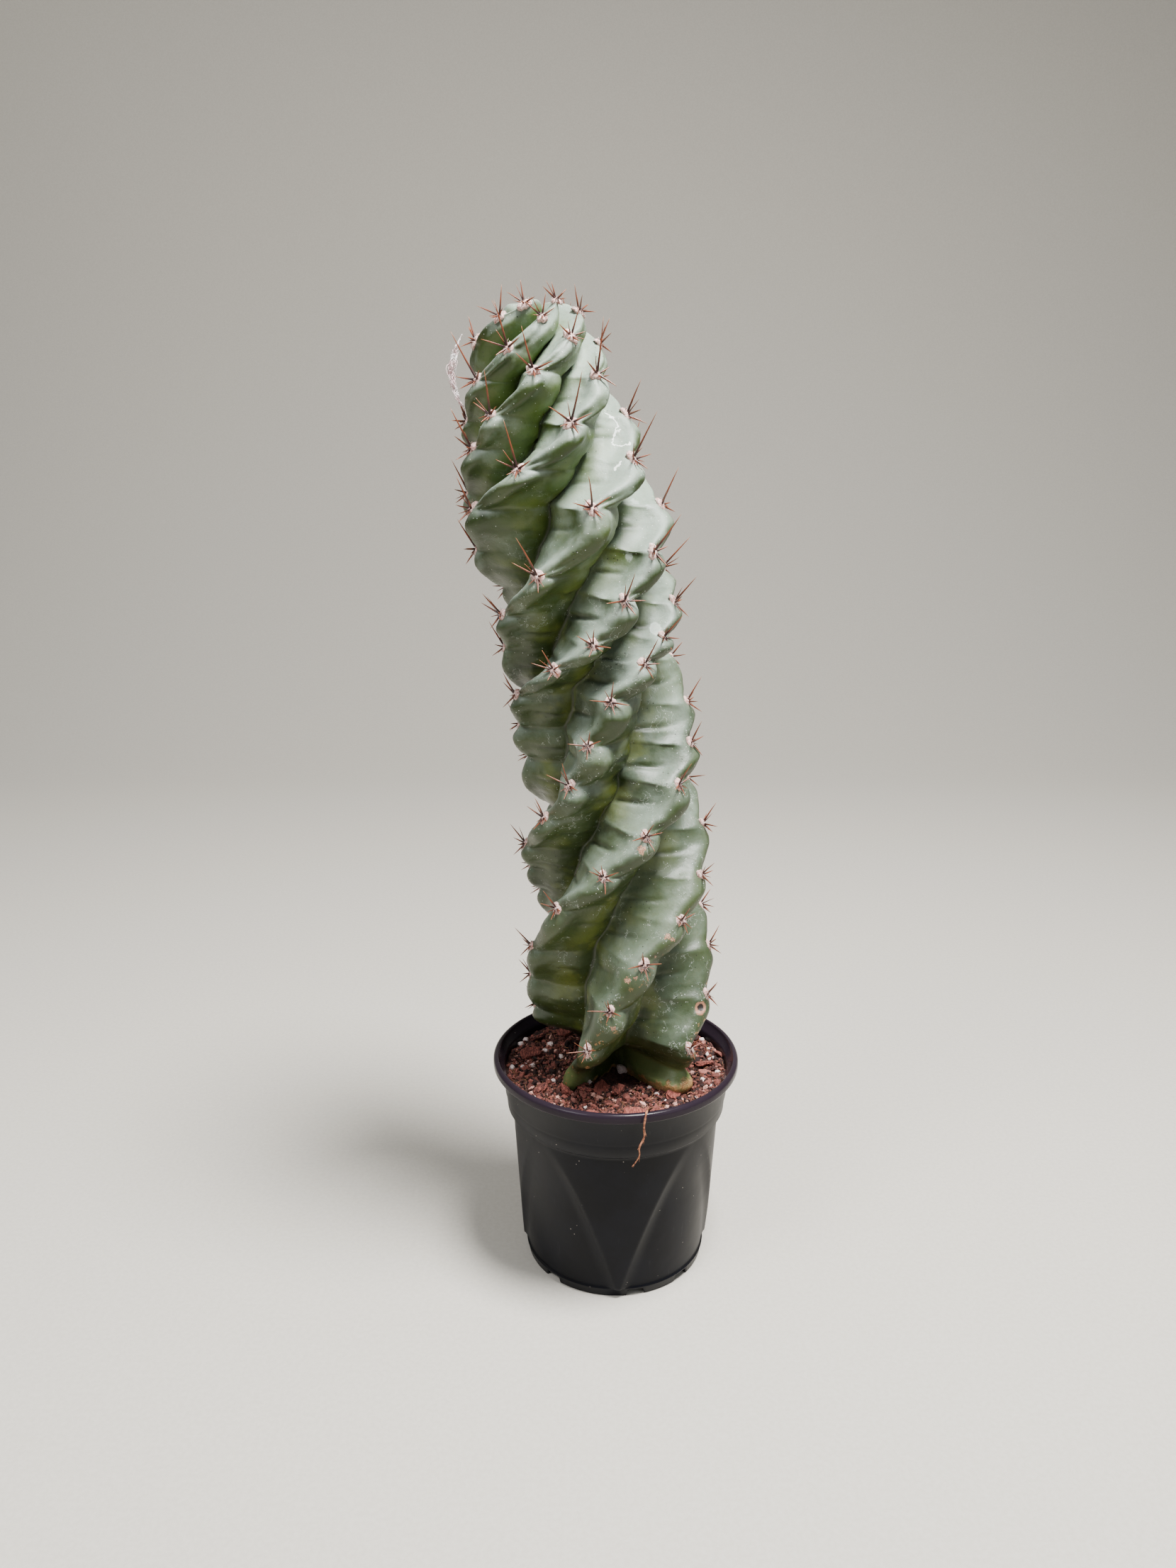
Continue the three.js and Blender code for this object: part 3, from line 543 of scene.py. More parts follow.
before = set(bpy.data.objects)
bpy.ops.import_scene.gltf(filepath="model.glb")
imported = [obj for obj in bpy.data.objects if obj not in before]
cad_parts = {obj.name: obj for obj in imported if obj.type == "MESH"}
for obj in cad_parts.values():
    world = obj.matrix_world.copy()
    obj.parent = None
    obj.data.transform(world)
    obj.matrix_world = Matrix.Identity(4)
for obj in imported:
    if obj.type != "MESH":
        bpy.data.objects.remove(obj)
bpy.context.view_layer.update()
pot_low, pot_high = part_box("pot")
POT_AXIS = np.array([(pot_low.x + pot_high.x) / 2, (pot_low.y + pot_high.y) / 2, 0.0])


def to_world(points):
    """Millimetres from the pot's axis to metres in the model's frame."""
    return np.asarray(points, float).reshape(-1, 3) * MM + POT_AXIS


def add_object(name, points, faces, smooth):
    """Mesh object in the scene, its points in metres."""
    mesh = bpy.data.meshes.new(name)
    mesh.from_pydata(points, [], faces)
    mesh.polygons.foreach_set("use_smooth", np.full(len(mesh.polygons), smooth))
    thing = bpy.data.objects.new(name, mesh)
    bpy.context.scene.collection.objects.link(thing)
    return thing


def make_piece(name, points, faces, material, node=None, values=None, smooth=True):
    """Piece on the part's only body, in place of a CAD node, with values per point for its material."""
    piece = add_object(name, to_world(points).tolist(), faces, smooth)
    for key, numbers in (values or {}).items():
        attribute = piece.data.attributes.new(key, "FLOAT", "POINT")
        attribute.data.foreach_set("value", np.asarray(numbers, np.float32).ravel())
    piece.data.materials.append(material)
    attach(piece, "root")
    if node:
        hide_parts(node)
    return piece


class Shapes:
    """Many small shapes gathered into one mesh, each point with a value for the material."""

    def __init__(self):
        self.points = []
        self.faces = []
        self.values = []

    def add(self, points, faces, value=0.0):
        start = sum(len(block) for block in self.points)
        self.points.append(np.asarray(points, float))
        self.faces += [[corner + start for corner in face] for face in faces]
        self.values.append(np.broadcast_to(np.asarray(value, float), len(points)))

    def make(self, name, material, node=None, smooth=True):
        values = {"along": np.concatenate(self.values)}
        make_piece(name, np.concatenate(self.points), self.faces, material, node, values, smooth)


def ring_faces(rows, columns):
    """Quads between rows of points that each go round once."""
    faces = []
    for low in range(0, (rows - 1) * columns, columns):
        for column in range(columns):
            following = (column + 1) % columns
            high = low + columns
            faces.append([low + column, low + following, high + following, high + column])
    return faces


def closed_rings(rows, columns):
    """Quads between rows of points, with a flat face over the first and the last."""
    last = (rows - 1) * columns
    ends = [list(range(columns))[::-1], list(range(last, last + columns))]
    return ring_faces(rows, columns) + ends


def tube(path, radii, sides):
    """Points and faces of a closed tube along a path of points, with one radius per point."""
    path = np.asarray(path, float)
    steps = np.gradient(path, axis=0)
    steps /= np.linalg.norm(steps, axis=1)[:, None]
    helper = np.array([0.0, 0.0, 1.0]) if abs(steps[0][2]) < 0.8 else np.array([1.0, 0.0, 0.0])
    first = np.cross(steps, helper)
    first /= np.linalg.norm(first, axis=1)[:, None]
    second = np.cross(steps, first)
    angles = np.arange(sides) * 2 * math.pi / sides
    offsets = np.cos(angles)[:, None] * first[:, None] + np.sin(angles)[:, None] * second[:, None]
    points = (path[:, None] + offsets * np.asarray(radii, float)[:, None, None]).reshape(-1, 3)
    return points, closed_rings(len(path), sides)


# Node graphs of the materials

class Graph:
    """Node graph of one material. Inputs are sockets or plain values."""

    def __init__(self, name):
        self.material = bpy.data.materials.new(name)
        self.material.use_nodes = True
        self.tree = self.material.node_tree
        self.tree.nodes.clear()
        self.shader = self.tree.nodes.new("ShaderNodeBsdfPrincipled")
        output = self.tree.nodes.new("ShaderNodeOutputMaterial")
        self.tree.links.new(self.shader.outputs["BSDF"], output.inputs["Surface"])
        self.place = self.node("TexCoord", {}, "Object")

    def feed(self, socket, value):
        if isinstance(value, bpy.types.NodeSocket):
            self.tree.links.new(value, socket)
        elif socket.type == "RGBA":
            socket.default_value = (*value, 1)
        else:
            socket.default_value = value

    def node(self, kind, inputs, output=0, **settings):
        """One output of a new node."""
        node = self.tree.nodes.new("ShaderNode" + kind)
        for key, value in settings.items():
            setattr(node, key, value)
        for key, value in inputs.items():
            self.feed(node.inputs[key], value)
        return node.outputs[output]

    def scaled(self, stretch, vector=None):
        return self.node("Mapping", {"Vector": vector or self.place, "Scale": stretch})

    def axis(self, name):
        """Place along X, Y or Z, in metres."""
        return self.node("SeparateXYZ", {0: self.place}, name)

    def noise(self, size_mm, detail, roughness=0.55, vector=None, output="Fac"):
        inputs = {"Vector": vector or self.place, "Scale": 1 / (size_mm * MM), "Detail": detail,
                  "Roughness": roughness}
        return self.node("TexNoise", inputs, output)

    def cells(self, size_mm, vector=None):
        """Distance to the nearest of many scattered points."""
        inputs = {"Vector": vector or self.place, "Scale": 1 / (size_mm * MM)}
        return self.node("TexVoronoi", inputs, "Distance")

    def attribute(self, name):
        return self.node("Attribute", {}, "Fac", attribute_name=name)

    def math(self, operation, a, b=0.0):
        return self.node("Math", {0: a, 1: b}, operation=operation)

    def times(self, *factors):
        product = factors[0]
        for factor in factors[1:]:
            product = self.math("MULTIPLY", product, factor)
        return product

    def vector(self, operation, a, b):
        """Vector operation; a distance or dot product comes out as a number."""
        key = "Scale" if operation == "SCALE" else 1
        output = "Value" if operation in ("DISTANCE", "DOT_PRODUCT") else "Vector"
        return self.node("VectorMath", {0: a, key: b}, output, operation=operation)

    def step(self, value, low, high):
        """Smooth step from 0 at low to 1 at high; low may be the greater."""
        inputs = {"Value": value, "From Min": low, "From Max": high}
        return self.node("MapRange", inputs, interpolation_type="SMOOTHSTEP")

    def range(self, value, low, high, out_low, out_high):
        inputs = {"Value": value, "From Min": low, "From Max": high, "To Min": out_low, "To Max": out_high}
        return self.node("MapRange", inputs)

    def blend(self, share, a, b):
        return self.node("Mix", {0: share, 6: a, 7: b}, 2, data_type="RGBA")

    def layers(self, color, coats):
        """Coats of colour laid over one another, each [share, colour]."""
        for share, coat in coats:
            color = self.blend(share, color, coat)
        return color

    def relief(self, *coats):
        """Normal under coats of relief, each (height, millimetres, strength)."""
        normal = None
        for height, depth_mm, strength in coats:
            inputs = {"Height": height, "Distance": depth_mm * MM, "Strength": strength}
            if normal is not None:
                inputs["Normal"] = normal
            normal = self.node("Bump", inputs)
        return normal

    def finish(self, color, roughness, normal, **constants):
        inputs = {"Base_Color": color, "Roughness": roughness, "Normal": normal, **constants}
        for key, value in inputs.items():
            self.feed(self.shader.inputs[key.replace("_", " ")], value)
        return self.material


def near(g, place, radius, rough=0.0):
    """Distance from a place on the front, as a share of a radius; depth counts little."""
    x, y, z = to_world(place)[0]
    gap = g.vector("DISTANCE", g.scaled((1, MARK_DEPTH, 1)), (x, y * MARK_DEPTH, z))
    share = g.math("DIVIDE", gap, radius * MM)
    return g.math("ADD", share, g.range(g.noise(radius * 0.8, 2), 0, 1, -rough, rough))


def band(g, value, centre, width):
    """1 where a value lies at the centre of a band, falling to 0 at its edges."""
    return g.step(g.math("ABSOLUTE", g.math("SUBTRACT", value, centre)), width, width * 0.35)


def line_distance(g, wavy, start, end):
    """Millimetres from the line between two places on the front; depth counts little."""
    squash = np.array([1, CRACK_DEPTH, 1])
    a, b = (to_world(place)[0] * squash for place in (start, end))
    line = b - a
    away = g.vector("SUBTRACT", g.scaled(tuple(squash), wavy), tuple(a))
    along = g.vector("DOT_PRODUCT", away, tuple(line / np.dot(line, line)))
    foot = g.vector("SCALE", tuple(line), g.node("Clamp", {"Value": along}))
    return g.times(g.vector("DISTANCE", away, foot), 1 / MM)


def crack_mark(g):
    """1 on the thin wavy cracks near the top."""
    wander = g.vector("SUBTRACT", g.noise(1.8, 2, 0.5, output="Color"), (0.5, 0.5, 0.5))
    wavy = g.vector("ADD", g.place, g.vector("SCALE", wander, CRACK_WANDER * MM))
    lines = [line_distance(g, wavy, *ends) for route in CRACKS for ends in zip(route, route[1:])]
    nearest = lines[0]
    for line in lines[1:]:
        nearest = g.math("MINIMUM", nearest, line)
    return g.step(nearest, 0.42, 0.14)


def ring_scar(g, place, radius):
    """Pale disc with a stronger edge."""
    away = near(g, place, radius, 0.35)
    return g.math("ADD", g.times(band(g, away, 1.0, 0.2), 0.45), g.step(away, 1.05, 0.9))


def skin_marks(g, color, fine):
    """Old wounds that show at the front: scars, scuffs, white cracks, corky spots and a scab."""
    scab = near(g, SCAB, SCAB_RADIUS, 0.3)
    cork = g.blend(g.step(fine, 0.4, 0.6), *SPOT_CORK)
    return g.layers(color, [
        *[(g.times(ring_scar(g, *scar), 0.4), RING_SCAR_GREY) for scar in RING_SCARS],
        *[(g.times(g.step(near(g, *scuff, 1.1), 1.1, 0.6), 0.35), SCUFF_GREY) for scuff in SCUFFS],
        (g.times(crack_mark(g), 0.9), CRACK_WHITE),
        *[(g.times(g.step(near(g, *spot, 1.3), 0.95, 0.75), 0.85), cork) for spot in CORK_SPOTS],
        (g.step(scab, 1.5, 1.15), SCAB_BROWN),
        (g.step(scab, 0.85, 0.6), SCAB_BLACK),
    ])


def bloom_and_top_light(g, way, height, side, grain):
    """Share of the pale bloom, partly real wax and partly painted light from above: thickest on upward
    faces, just below the crests and near the top, thinner on the right side as painted shade.
    """
    upward = g.node("SeparateXYZ", {0: g.node("NewGeometry", {}, "Normal")}, "Z")
    patches = g.range(g.noise(15, 4, 0.58), 0.34, 0.68, -0.17, 0.31)
    # Upward faces take more of the pale grey: real wax bloom and painted light from above together
    upward_bloom_and_light = g.math("ADD", g.range(upward, -0.3, 0.75, -0.1, 0.62), patches)
    below_crest = g.range(g.step(way, 0.02, 0.24), 0, 1, 0.55, 1)
    # More near the top, partly painted light from above, and less on the right side, which paints that
    # side darker as shade
    bloom_and_light = g.times(upward_bloom_and_light, g.range(way, 0, 1, 0.8, 0.36), below_crest,
                    g.range(height, *BLOOM_AND_TOP_LIGHT_HEIGHTS, 0.28, 1.95), g.range(side, 0.012, 0.042, 1, 0.6))
    return g.times(g.math("MINIMUM", bloom_and_light, BLOOM_AND_TOP_LIGHT_LIMIT), g.range(grain, 0.3, 0.7, 0.76, 1.1))


def toe_painted_light(g, height, side):
    """Share of painted light on the two toes: a brighter green that stands in for light the ribs above
    keep off them.
    """
    thick = g.times(g.step(height, *TOE_PAINTED_LIGHT_HEIGHTS), g.step(side, 0.008, 0.014), 0.85)
    thin = g.times(g.step(near(g, FINGER_TIP, FINGER_PAINTED_LIGHT_RADIUS), 1.0, 0.45), 0.8)
    return g.math("MAXIMUM", thick, thin)


def skin_cork(g, way, height, side):
    """Share of cork, in spots low on the crests and in a rim where the stem meets the soil."""
    spots = g.times(g.step(way, 0.16, 0.04), g.step(height, *CORK_HEIGHTS),
                    g.step(g.noise(2.6, 3), 0.6, 0.66))
    edge = g.math("ADD", height, g.range(g.noise(5, 3), 0.3, 0.7, 0.003, -0.003))
    edge = g.math("SUBTRACT", edge, g.range(side, 0.0, 0.03, -0.003, 0.0055))
    rim = g.times(g.step(edge, *FOOT_CORK_HEIGHTS), g.range(g.noise(3.4, 3), 0.35, 0.6, 0.25, 1))
    return g.math("MAXIMUM", spots, rim)


def fine_lines(g, height):
    """Share of thin pale lines that wander over the skin in places."""
    lines = g.times(band(g, g.noise(7, 4, 0.55), 0.56, 0.008), g.step(g.noise(15, 2), 0.47, 0.56))
    return g.times(lines, g.range(height, *LINE_FADE_HEIGHTS, 1, 0.2))


def skin_material():
    """Waxy grey-green skin: bloom partly painted as light from above, olive furrows, painted shade in the
    creases and at the bottom of the furrows, painted light on the toes, cork low on the crests, pale
    lines, specks and pits.
    """
    g = Graph("stem_skin")
    way, crease = g.attribute("way"), g.attribute("crease")
    height, side = g.axis("Z"), g.axis("X")
    grain = g.noise(1.6, 4, 0.7)
    fine = g.noise(0.45, 2, 0.6)
    bloom_and_light = bloom_and_top_light(g, way, height, side, grain)
    lines = fine_lines(g, height)
    crowded = g.math("ADD", g.noise(7, 2), g.range(way, 0.05, 0.4, 0.12, 0))
    pit_places = g.scaled((1.13, 0.9, 1.07))
    pits = g.times(g.step(g.cells(3.3, pit_places), 0.12, 0.06), g.step(g.noise(16, 2), 0.5, 0.58))
    cork = skin_cork(g, way, height, side)
    color = g.layers(g.blend(g.step(g.noise(34, 3), 0.36, 0.66), *BODY_GREENS), [
        (g.times(g.step(way, 0.3, 0.8), g.step(g.noise(19, 3), 0.44, 0.6)), OLIVE),
        (g.times(g.range(height, *YOUNG_HEIGHTS, 0, 1), g.range(way, 0.25, 0.7, 0.1, 0.85)), YOUNG_GREEN),
        # Pale bloom, partly painted light from above
        (bloom_and_light, BLOOM_AND_TOP_LIGHT_GREY),
        (g.times(g.step(grain, 0.52, 0.74), 0.3), GRAIN_GREEN),
        # Painted shade: the creases are darkened
        (g.times(crease, 0.7), CREASE_SHADE_GREEN),
        # Painted shade: the bottom of each furrow is darkened
        (g.times(g.step(way, 0.94, 1.0), 0.8), FURROW_SHADE_GREEN),
        (g.times(lines, 0.45), LINE_GREY),
        (g.times(g.step(g.cells(1.9), 0.14, 0.05), g.step(crowded, 0.48, 0.57)), SPECK_WHITE),
        (pits, PIT_BLACK),
        # Painted light: the toes are brightened where the ribs above shade them
        (toe_painted_light(g, height, side), TOE_PAINTED_LIGHT_GREEN),
        (cork, g.blend(g.step(fine, 0.35, 0.65), *FOOT_CORK)),
    ])
    roughness = g.range(g.math("ADD", g.times(grain, 0.6), bloom_and_light), 0.2, 1.1, 0.36, 0.62)
    scored = g.math("SUBTRACT", fine, g.math("ADD", g.times(pits, 2.0), lines))
    normal = g.relief((g.noise(5.5, 3, 0.6), 0.5, 0.5), (grain, 0.16, 0.6), (scored, 0.06, 0.6),
                      (cork, 0.35, 0.7))
    return g.finish(skin_marks(g, color, fine), roughness, normal, Subsurface_Weight=0.05,
                    Subsurface_Scale=0.004, Specular_IOR_Level=0.4)


def wool_material():
    """Felt tufts with brown gaps between them."""
    g = Graph("areole_wool")
    tufts = g.noise(0.55, 3, 0.7)
    color = g.blend(g.step(tufts, 0.35, 0.68), *WOOL_PINKS)
    color = g.blend(g.times(g.step(g.noise(1.1, 2), 0.52, 0.64), 0.75), color, WOOL_GAP_BROWN)
    return g.finish(color, 0.92, g.relief((tufts, 0.3, 0.9)), Sheen_Weight=0.3, Sheen_Roughness=0.5)


def spine_material():
    """Dark red-brown bases, orange-brown shafts and pale tips."""
    g = Graph("spine_horn")
    along = g.math("ADD", g.attribute("along"), g.range(g.noise(3, 2), 0, 1, -0.12, 0.12))
    color = g.blend(g.step(along, 0.1, 0.55), *SPINE_BROWNS)
    color = g.blend(g.step(along, 0.7, 1.0), color, SPINE_TIP_BROWN)
    fibres = g.noise(0.35, 2, vector=g.scaled((1, 1, 0.25)))
    return g.finish(color, 0.38, g.relief((fibres, 0.04, 0.5)))


def pot_material():
    """Near-black plastic, glossier on the rim and tinted violet there as a painted reflection, with dust
    specks and faint rubbed scratches.
    """
    g = Graph("pot_plastic")
    haze = g.noise(22, 4, 0.6)
    streaks = g.noise(1.4, 3, 0.6, g.scaled((1, 1, 0.05)))
    rim = g.step(g.axis("Z"), *RIM_HEIGHTS)
    color = g.layers(g.blend(g.step(haze, 0.35, 0.75), *POT_BLACKS), [
        (g.times(g.step(streaks, 0.62, 0.72), g.step(haze, 0.5, 0.7), 0.35), SCRATCH_GREY),
        (g.times(g.step(g.cells(4.2), 0.075, 0.03), g.step(g.noise(12, 2), 0.5, 0.6)), DUST_GREY),
        # Painted reflection: the rim's colour is lifted to violet
        (g.times(rim, 0.5), RIM_REFLECTION_VIOLET),
    ])
    roughness = g.math("SUBTRACT", g.range(haze, 0.2, 0.8, 0.34, 0.44), g.times(rim, 0.16))
    normal = g.relief((g.noise(0.8, 3, 0.6), 0.035, 0.4), (g.noise(16, 2), 0.5, 0.35))
    return g.finish(color, roughness, normal, Specular_IOR_Level=0.12)


def mix_material(name, browns, lumps_mm):
    """Lumpy soil or fibre between two browns, with darker patches."""
    g = Graph(name)
    lumps = g.noise(lumps_mm, 4, 0.65)
    color = g.blend(g.step(lumps, 0.36, 0.68), *browns)
    shade = tuple(part * 0.35 for part in browns[0])
    color = g.blend(g.times(g.step(g.noise(9, 3), 0.5, 0.72), 0.5), color, shade)
    return g.finish(color, 0.95, g.relief((lumps, 0.7, 0.9), (g.noise(0.5, 3, 0.7), 0.2, 0.8)))


def crumb_material():
    """Coir and peat crumbs, each with its own brown, a few pale ones as painted highlights."""
    g = Graph("soil_crumbs")
    own = g.attribute("along")
    color = g.layers(g.blend(g.step(own, 0.1, 0.9), *CRUMB_BROWNS), [
        # Painted highlights: a few crumbs are made pale
        (g.step(own, 0.86, 0.96), PALE_CRUMB_HIGHLIGHT),
        (g.step(g.noise(0.9, 3, 0.7), 0.5, 0.7), CRUMB_SHADE),
    ])
    return g.finish(color, 0.9, g.relief((g.noise(0.6, 3, 0.7), 0.25, 0.9)))


def perlite_material():
    g = Graph("perlite")
    pores = g.cells(0.7)
    color = g.blend(g.step(pores, 0.12, 0.4), *PERLITE_PINKS)
    return g.finish(color, 0.85, g.relief((pores, 0.25, 0.9)))


def bark_material():
    """Dark red bark with long fibres and paler broken faces."""
    g = Graph("bark_chips")
    fibres = g.noise(0.7, 4, 0.65, g.scaled((1, 0.22, 1)))
    color = g.blend(g.attribute("along"), *BARK_REDS)
    color = g.blend(g.step(fibres, 0.42, 0.66), color, BARK_FIBRE_RED)
    return g.finish(color, 0.88, g.relief((fibres, 0.4, 0.9)))


def root_material():
    g = Graph("root_bark")
    color = g.blend(g.step(g.noise(1.6, 3, 0.6), 0.36, 0.66), *ROOT_BROWNS)
    return g.finish(color, 0.85, g.relief((g.noise(0.5, 3, 0.6), 0.12, 0.9)))


def web_material():
    g = Graph("web_threads")
    color = g.blend(g.step(g.noise(4, 2), 0.4, 0.65), *WEB_WHITES)
    return g.finish(color, 0.7, g.relief((g.noise(0.6, 2), 0.03, 0.5)))


def floor_material():
    g = Graph("floor")
    threads = g.noise(2.2, 3, 0.6)
    color = g.blend(g.step(threads, 0.3, 0.7), *FLOOR_CREAMS)
    return g.finish(color, 0.9, g.relief((threads, 0.15, 0.3)))


# Stem

def seam_distance(rib, level):
    """Millimetres along the stem to the rib's nearest areole level."""
    low, high, _, _ = neighbours(rib, level)
    return np.minimum(np.abs(level - low), np.abs(high - level))


def seam_drop(way):
    """How far a crease has run down from its areole at a way across the flank."""
    return SEAM_DROP * (1 - np.exp(-way / SEAM_TURN)) + SEAM_SLOPE * way


def flank_relief(rib, way, level):
    """Creases of a flank and the swelling between them, as shares of their full depth and height."""
    lifted = level + seam_drop(way)
    crease = np.exp(-((seam_distance(rib, lifted) / SEAM_WIDTH) ** 2))
    swelling = np.sin(np.pi * phase(rib, lifted)) ** SWELLING_FULLNESS
    crease = crease * window(way, SEAM_REACH, SEAM_END) * creasing(level)
    return crease, swelling * window(way, *SWELLING_REACH) * window(level, *SWELLING_LEVELS) * folds(level)


def hump(way, height, middle, width):
    return height * np.exp(-(((way - middle) / width) ** 2))


def crest_relief(rib, following, place, way, level):
    """Rolled edge beside a crest, the hollow below it and the full flanks of the crown."""
    right = place < 0.5
    between = np.sin(np.pi * np.where(right, phase(rib, level), phase(following, level))) ** 0.5
    roll = hump(way, *ROLL) * between * np.where(right, 1, LEFT_ROLL_SHARE)
    gutter = hump(way, *GUTTER) * np.where(right, RIGHT_GUTTER_SHARE, 1)
    full = np.sin(np.pi * way) * smoothstep(way, *CROWN_REACH) * np.where(right, 1, LEFT_CROWN_SHARE)
    crown = CROWN_SWELLING * window(level, *CROWN_LEVELS) * full
    return (roll - gutter) * window(level, *ROLL_LEVELS) + crown


def scab_dent(surface):
    """Depth of the hollow in the middle of the scab, with a low ring round it."""
    away = np.linalg.norm(surface - np.array(SCAB), axis=2) / SCAB_RADIUS
    return SCAB_DEPTH * (np.exp(-(away ** 2)) - 0.5 * np.exp(-((away - 1.7) ** 2) * 4))


def finger_relief(surface):
    """Swelling that rounds the tip of the thin toe at the left."""
    away = np.linalg.norm(surface - np.array(FINGER_TIP), axis=2) / FINGER_RADIUS
    return FINGER_SWELLING * np.exp(-(away ** 2))


def toe_relief(surface, level):
    """Swelling of the toe at the right and the crease that sets it off from the rib above it."""
    lifted = level + surface[:, :, 0] * TOE_TILT
    relief = hump(lifted, *TOE_SWELLING) - hump(lifted, *TOE_CREASE)
    return relief * smoothstep(surface[:, :, 0], *TOE_X) * (1 - smoothstep(surface[:, :, 1], *TOE_Y))


def rib_surface(index, place, way, level):
    """Surface from one rib's crest to the next, its relief and its creases."""
    rib = ribs[index]
    following = ribs[(index + 1) % len(ribs)]
    sides = zip(flank_relief(rib, way, level), flank_relief(following, way, level))
    crease, swelling = (np.where(place < 0.5, right, left) for right, left in sides)
    strength = np.where(place < 0.5, RIGHT_FLANK_FOLDS, 1)
    folding = strength * (swelling * SWELLING - crease * SEAM_DEPTH)
    relief = folding + crest_relief(rib, following, place, way, level)
    return stem_points(index, place, level), relief, crease


def raised(surface, relief):
    """Surface moved along its normals by its relief."""
    around_stem = np.roll(surface, -1, axis=1) - np.roll(surface, 1, axis=1)
    normal = np.cross(around_stem, np.gradient(surface, axis=0))
    normal /= np.linalg.norm(normal, axis=2)[:, :, None] + 1e-9
    return surface + normal * relief[:, :, None]


def unevenness(surface, level):
    uneven = lumpiness(surface.reshape(-1, 3), SKIN_LUMPS)
    return uneven.reshape(surface.shape[:2]) * window(level, *UNEVEN_LEVELS)


def make_stem(material):
    """Ribbed body from the buried plug to the tip, with creases, puffed flanks and fine unevenness."""
    levels = np.concatenate([PLUG_LEVELS, np.arange(*ROW_LEVELS)])
    level, place = np.meshgrid(levels, np.arange(COLUMNS_PER_RIB) / COLUMNS_PER_RIB, indexing="ij")
    way = 1 - np.abs(place * 2 - 1)
    parts = [rib_surface(index, place, way, level) for index in range(len(ribs))]
    surface, relief, creases = (np.concatenate(part, axis=1) for part in zip(*parts))
    low = level[:, :1]
    relief = relief + unevenness(surface, low) - scab_dent(surface)
    relief = relief + toe_relief(surface, low) + finger_relief(surface)
    surface = raised(surface, relief)
    columns = surface.shape[1]
    foot = [*axis(levels[0]), levels[0]]
    points = np.concatenate([surface.reshape(-1, 3), [foot, [*axis(TIP_LEVEL), TIP_Z]]])
    faces = ring_faces(len(levels), columns)
    last = (len(levels) - 1) * columns
    for column in range(columns):
        following = (column + 1) % columns
        faces.append([len(points) - 2, following, column])
        faces.append([last + column, last + following, len(points) - 1])
    ways = np.tile(way, (1, len(ribs))).ravel()
    values = {"way": np.append(ways, [1, 1]), "crease": np.append(creases.ravel(), [0, 0])}
    make_piece("stem_body", points, faces, material, "cactus_stem", values)


def areoles():
    """Each areole's seed, growth and frame."""
    for index, rib in enumerate(ribs):
        for order, level in enumerate(rib["levels"]):
            yield index * 100 + order, float(spine_growth(level)), areole_frame(rib, level)


def pad_reach(angle, side, up):
    """Way from the middle of a felt pad to its edge."""
    return side * (PAD_SIZE[0] * math.cos(angle)) + up * (PAD_SIZE[1] * math.sin(angle))


def wool_pad(shapes, seed, size, areole):
    """Felted cushion with an uneven outline."""
    place, normal, side, up = areole
    points = []
    for reach, rise in PAD_ROWS:
        for column in range(PAD_COLUMNS):
            angle = column * 2 * math.pi / PAD_COLUMNS
            rough = 0.95 + 0.2 * math.sin(angle * 2 + seed) + spread(seed + column, 31, 0.4)
            lift = rise + spread(seed * 3 + column, int(rise * 10), 0.5)
            across = pad_reach(angle, side, up) * (reach * rough * size)
            points.append(place + across + normal * (lift * size))
    points.append(place + normal * PAD_TOP * size)
    last = (len(PAD_ROWS) - 1) * PAD_COLUMNS
    faces = ring_faces(len(PAD_ROWS), PAD_COLUMNS)
    for column in range(PAD_COLUMNS):
        faces.append([last + column, last + (column + 1) % PAD_COLUMNS, len(points) - 1])
    faces.append(list(range(PAD_COLUMNS))[::-1])
    shapes.add(points, faces, chance(seed, 7))


def wool_hairs(shapes, seed, size, areole):
    """Short curled hairs that stand out of the felt."""
    place, normal, side, up = areole
    for i in range(HAIRS_PER_PAD):
        reach = math.sqrt(chance(seed, 80 + i)) * 0.95
        across = pad_reach(chance(seed, 40 + i) * 2 * math.pi, side, up)
        start = place + across * (reach * size) + normal * 0.7 * size
        lean = side * spread(seed, 120 + i, HAIR_LEAN) + up * spread(seed, 160 + i, HAIR_LEAN)
        lean = lean + across * 0.25
        length = mix(*HAIR_LENGTHS, chance(seed, 200 + i)) * size
        middle = start + (normal + lean * 0.4) * (length * 0.5)
        end = start + normal * (length * 0.75) + lean * (length * 0.7)
        shapes.add(*tube([start, middle, end], HAIR_RADII, 3), chance(seed, 7))


def spine(shapes, start, way, length, bend, width):
    """One horny spine, swollen at its base and bent a little on the way to its tip."""
    shares, radii = np.array(SPINE_TAPER).T
    path = [start + way * (length * share) + bend * (length * share * (1 - share)) for share in shares]
    points, faces = tube(path, radii * width, 6)
    shapes.add(points, faces, np.repeat(np.clip(shares, 0, 1), 6))


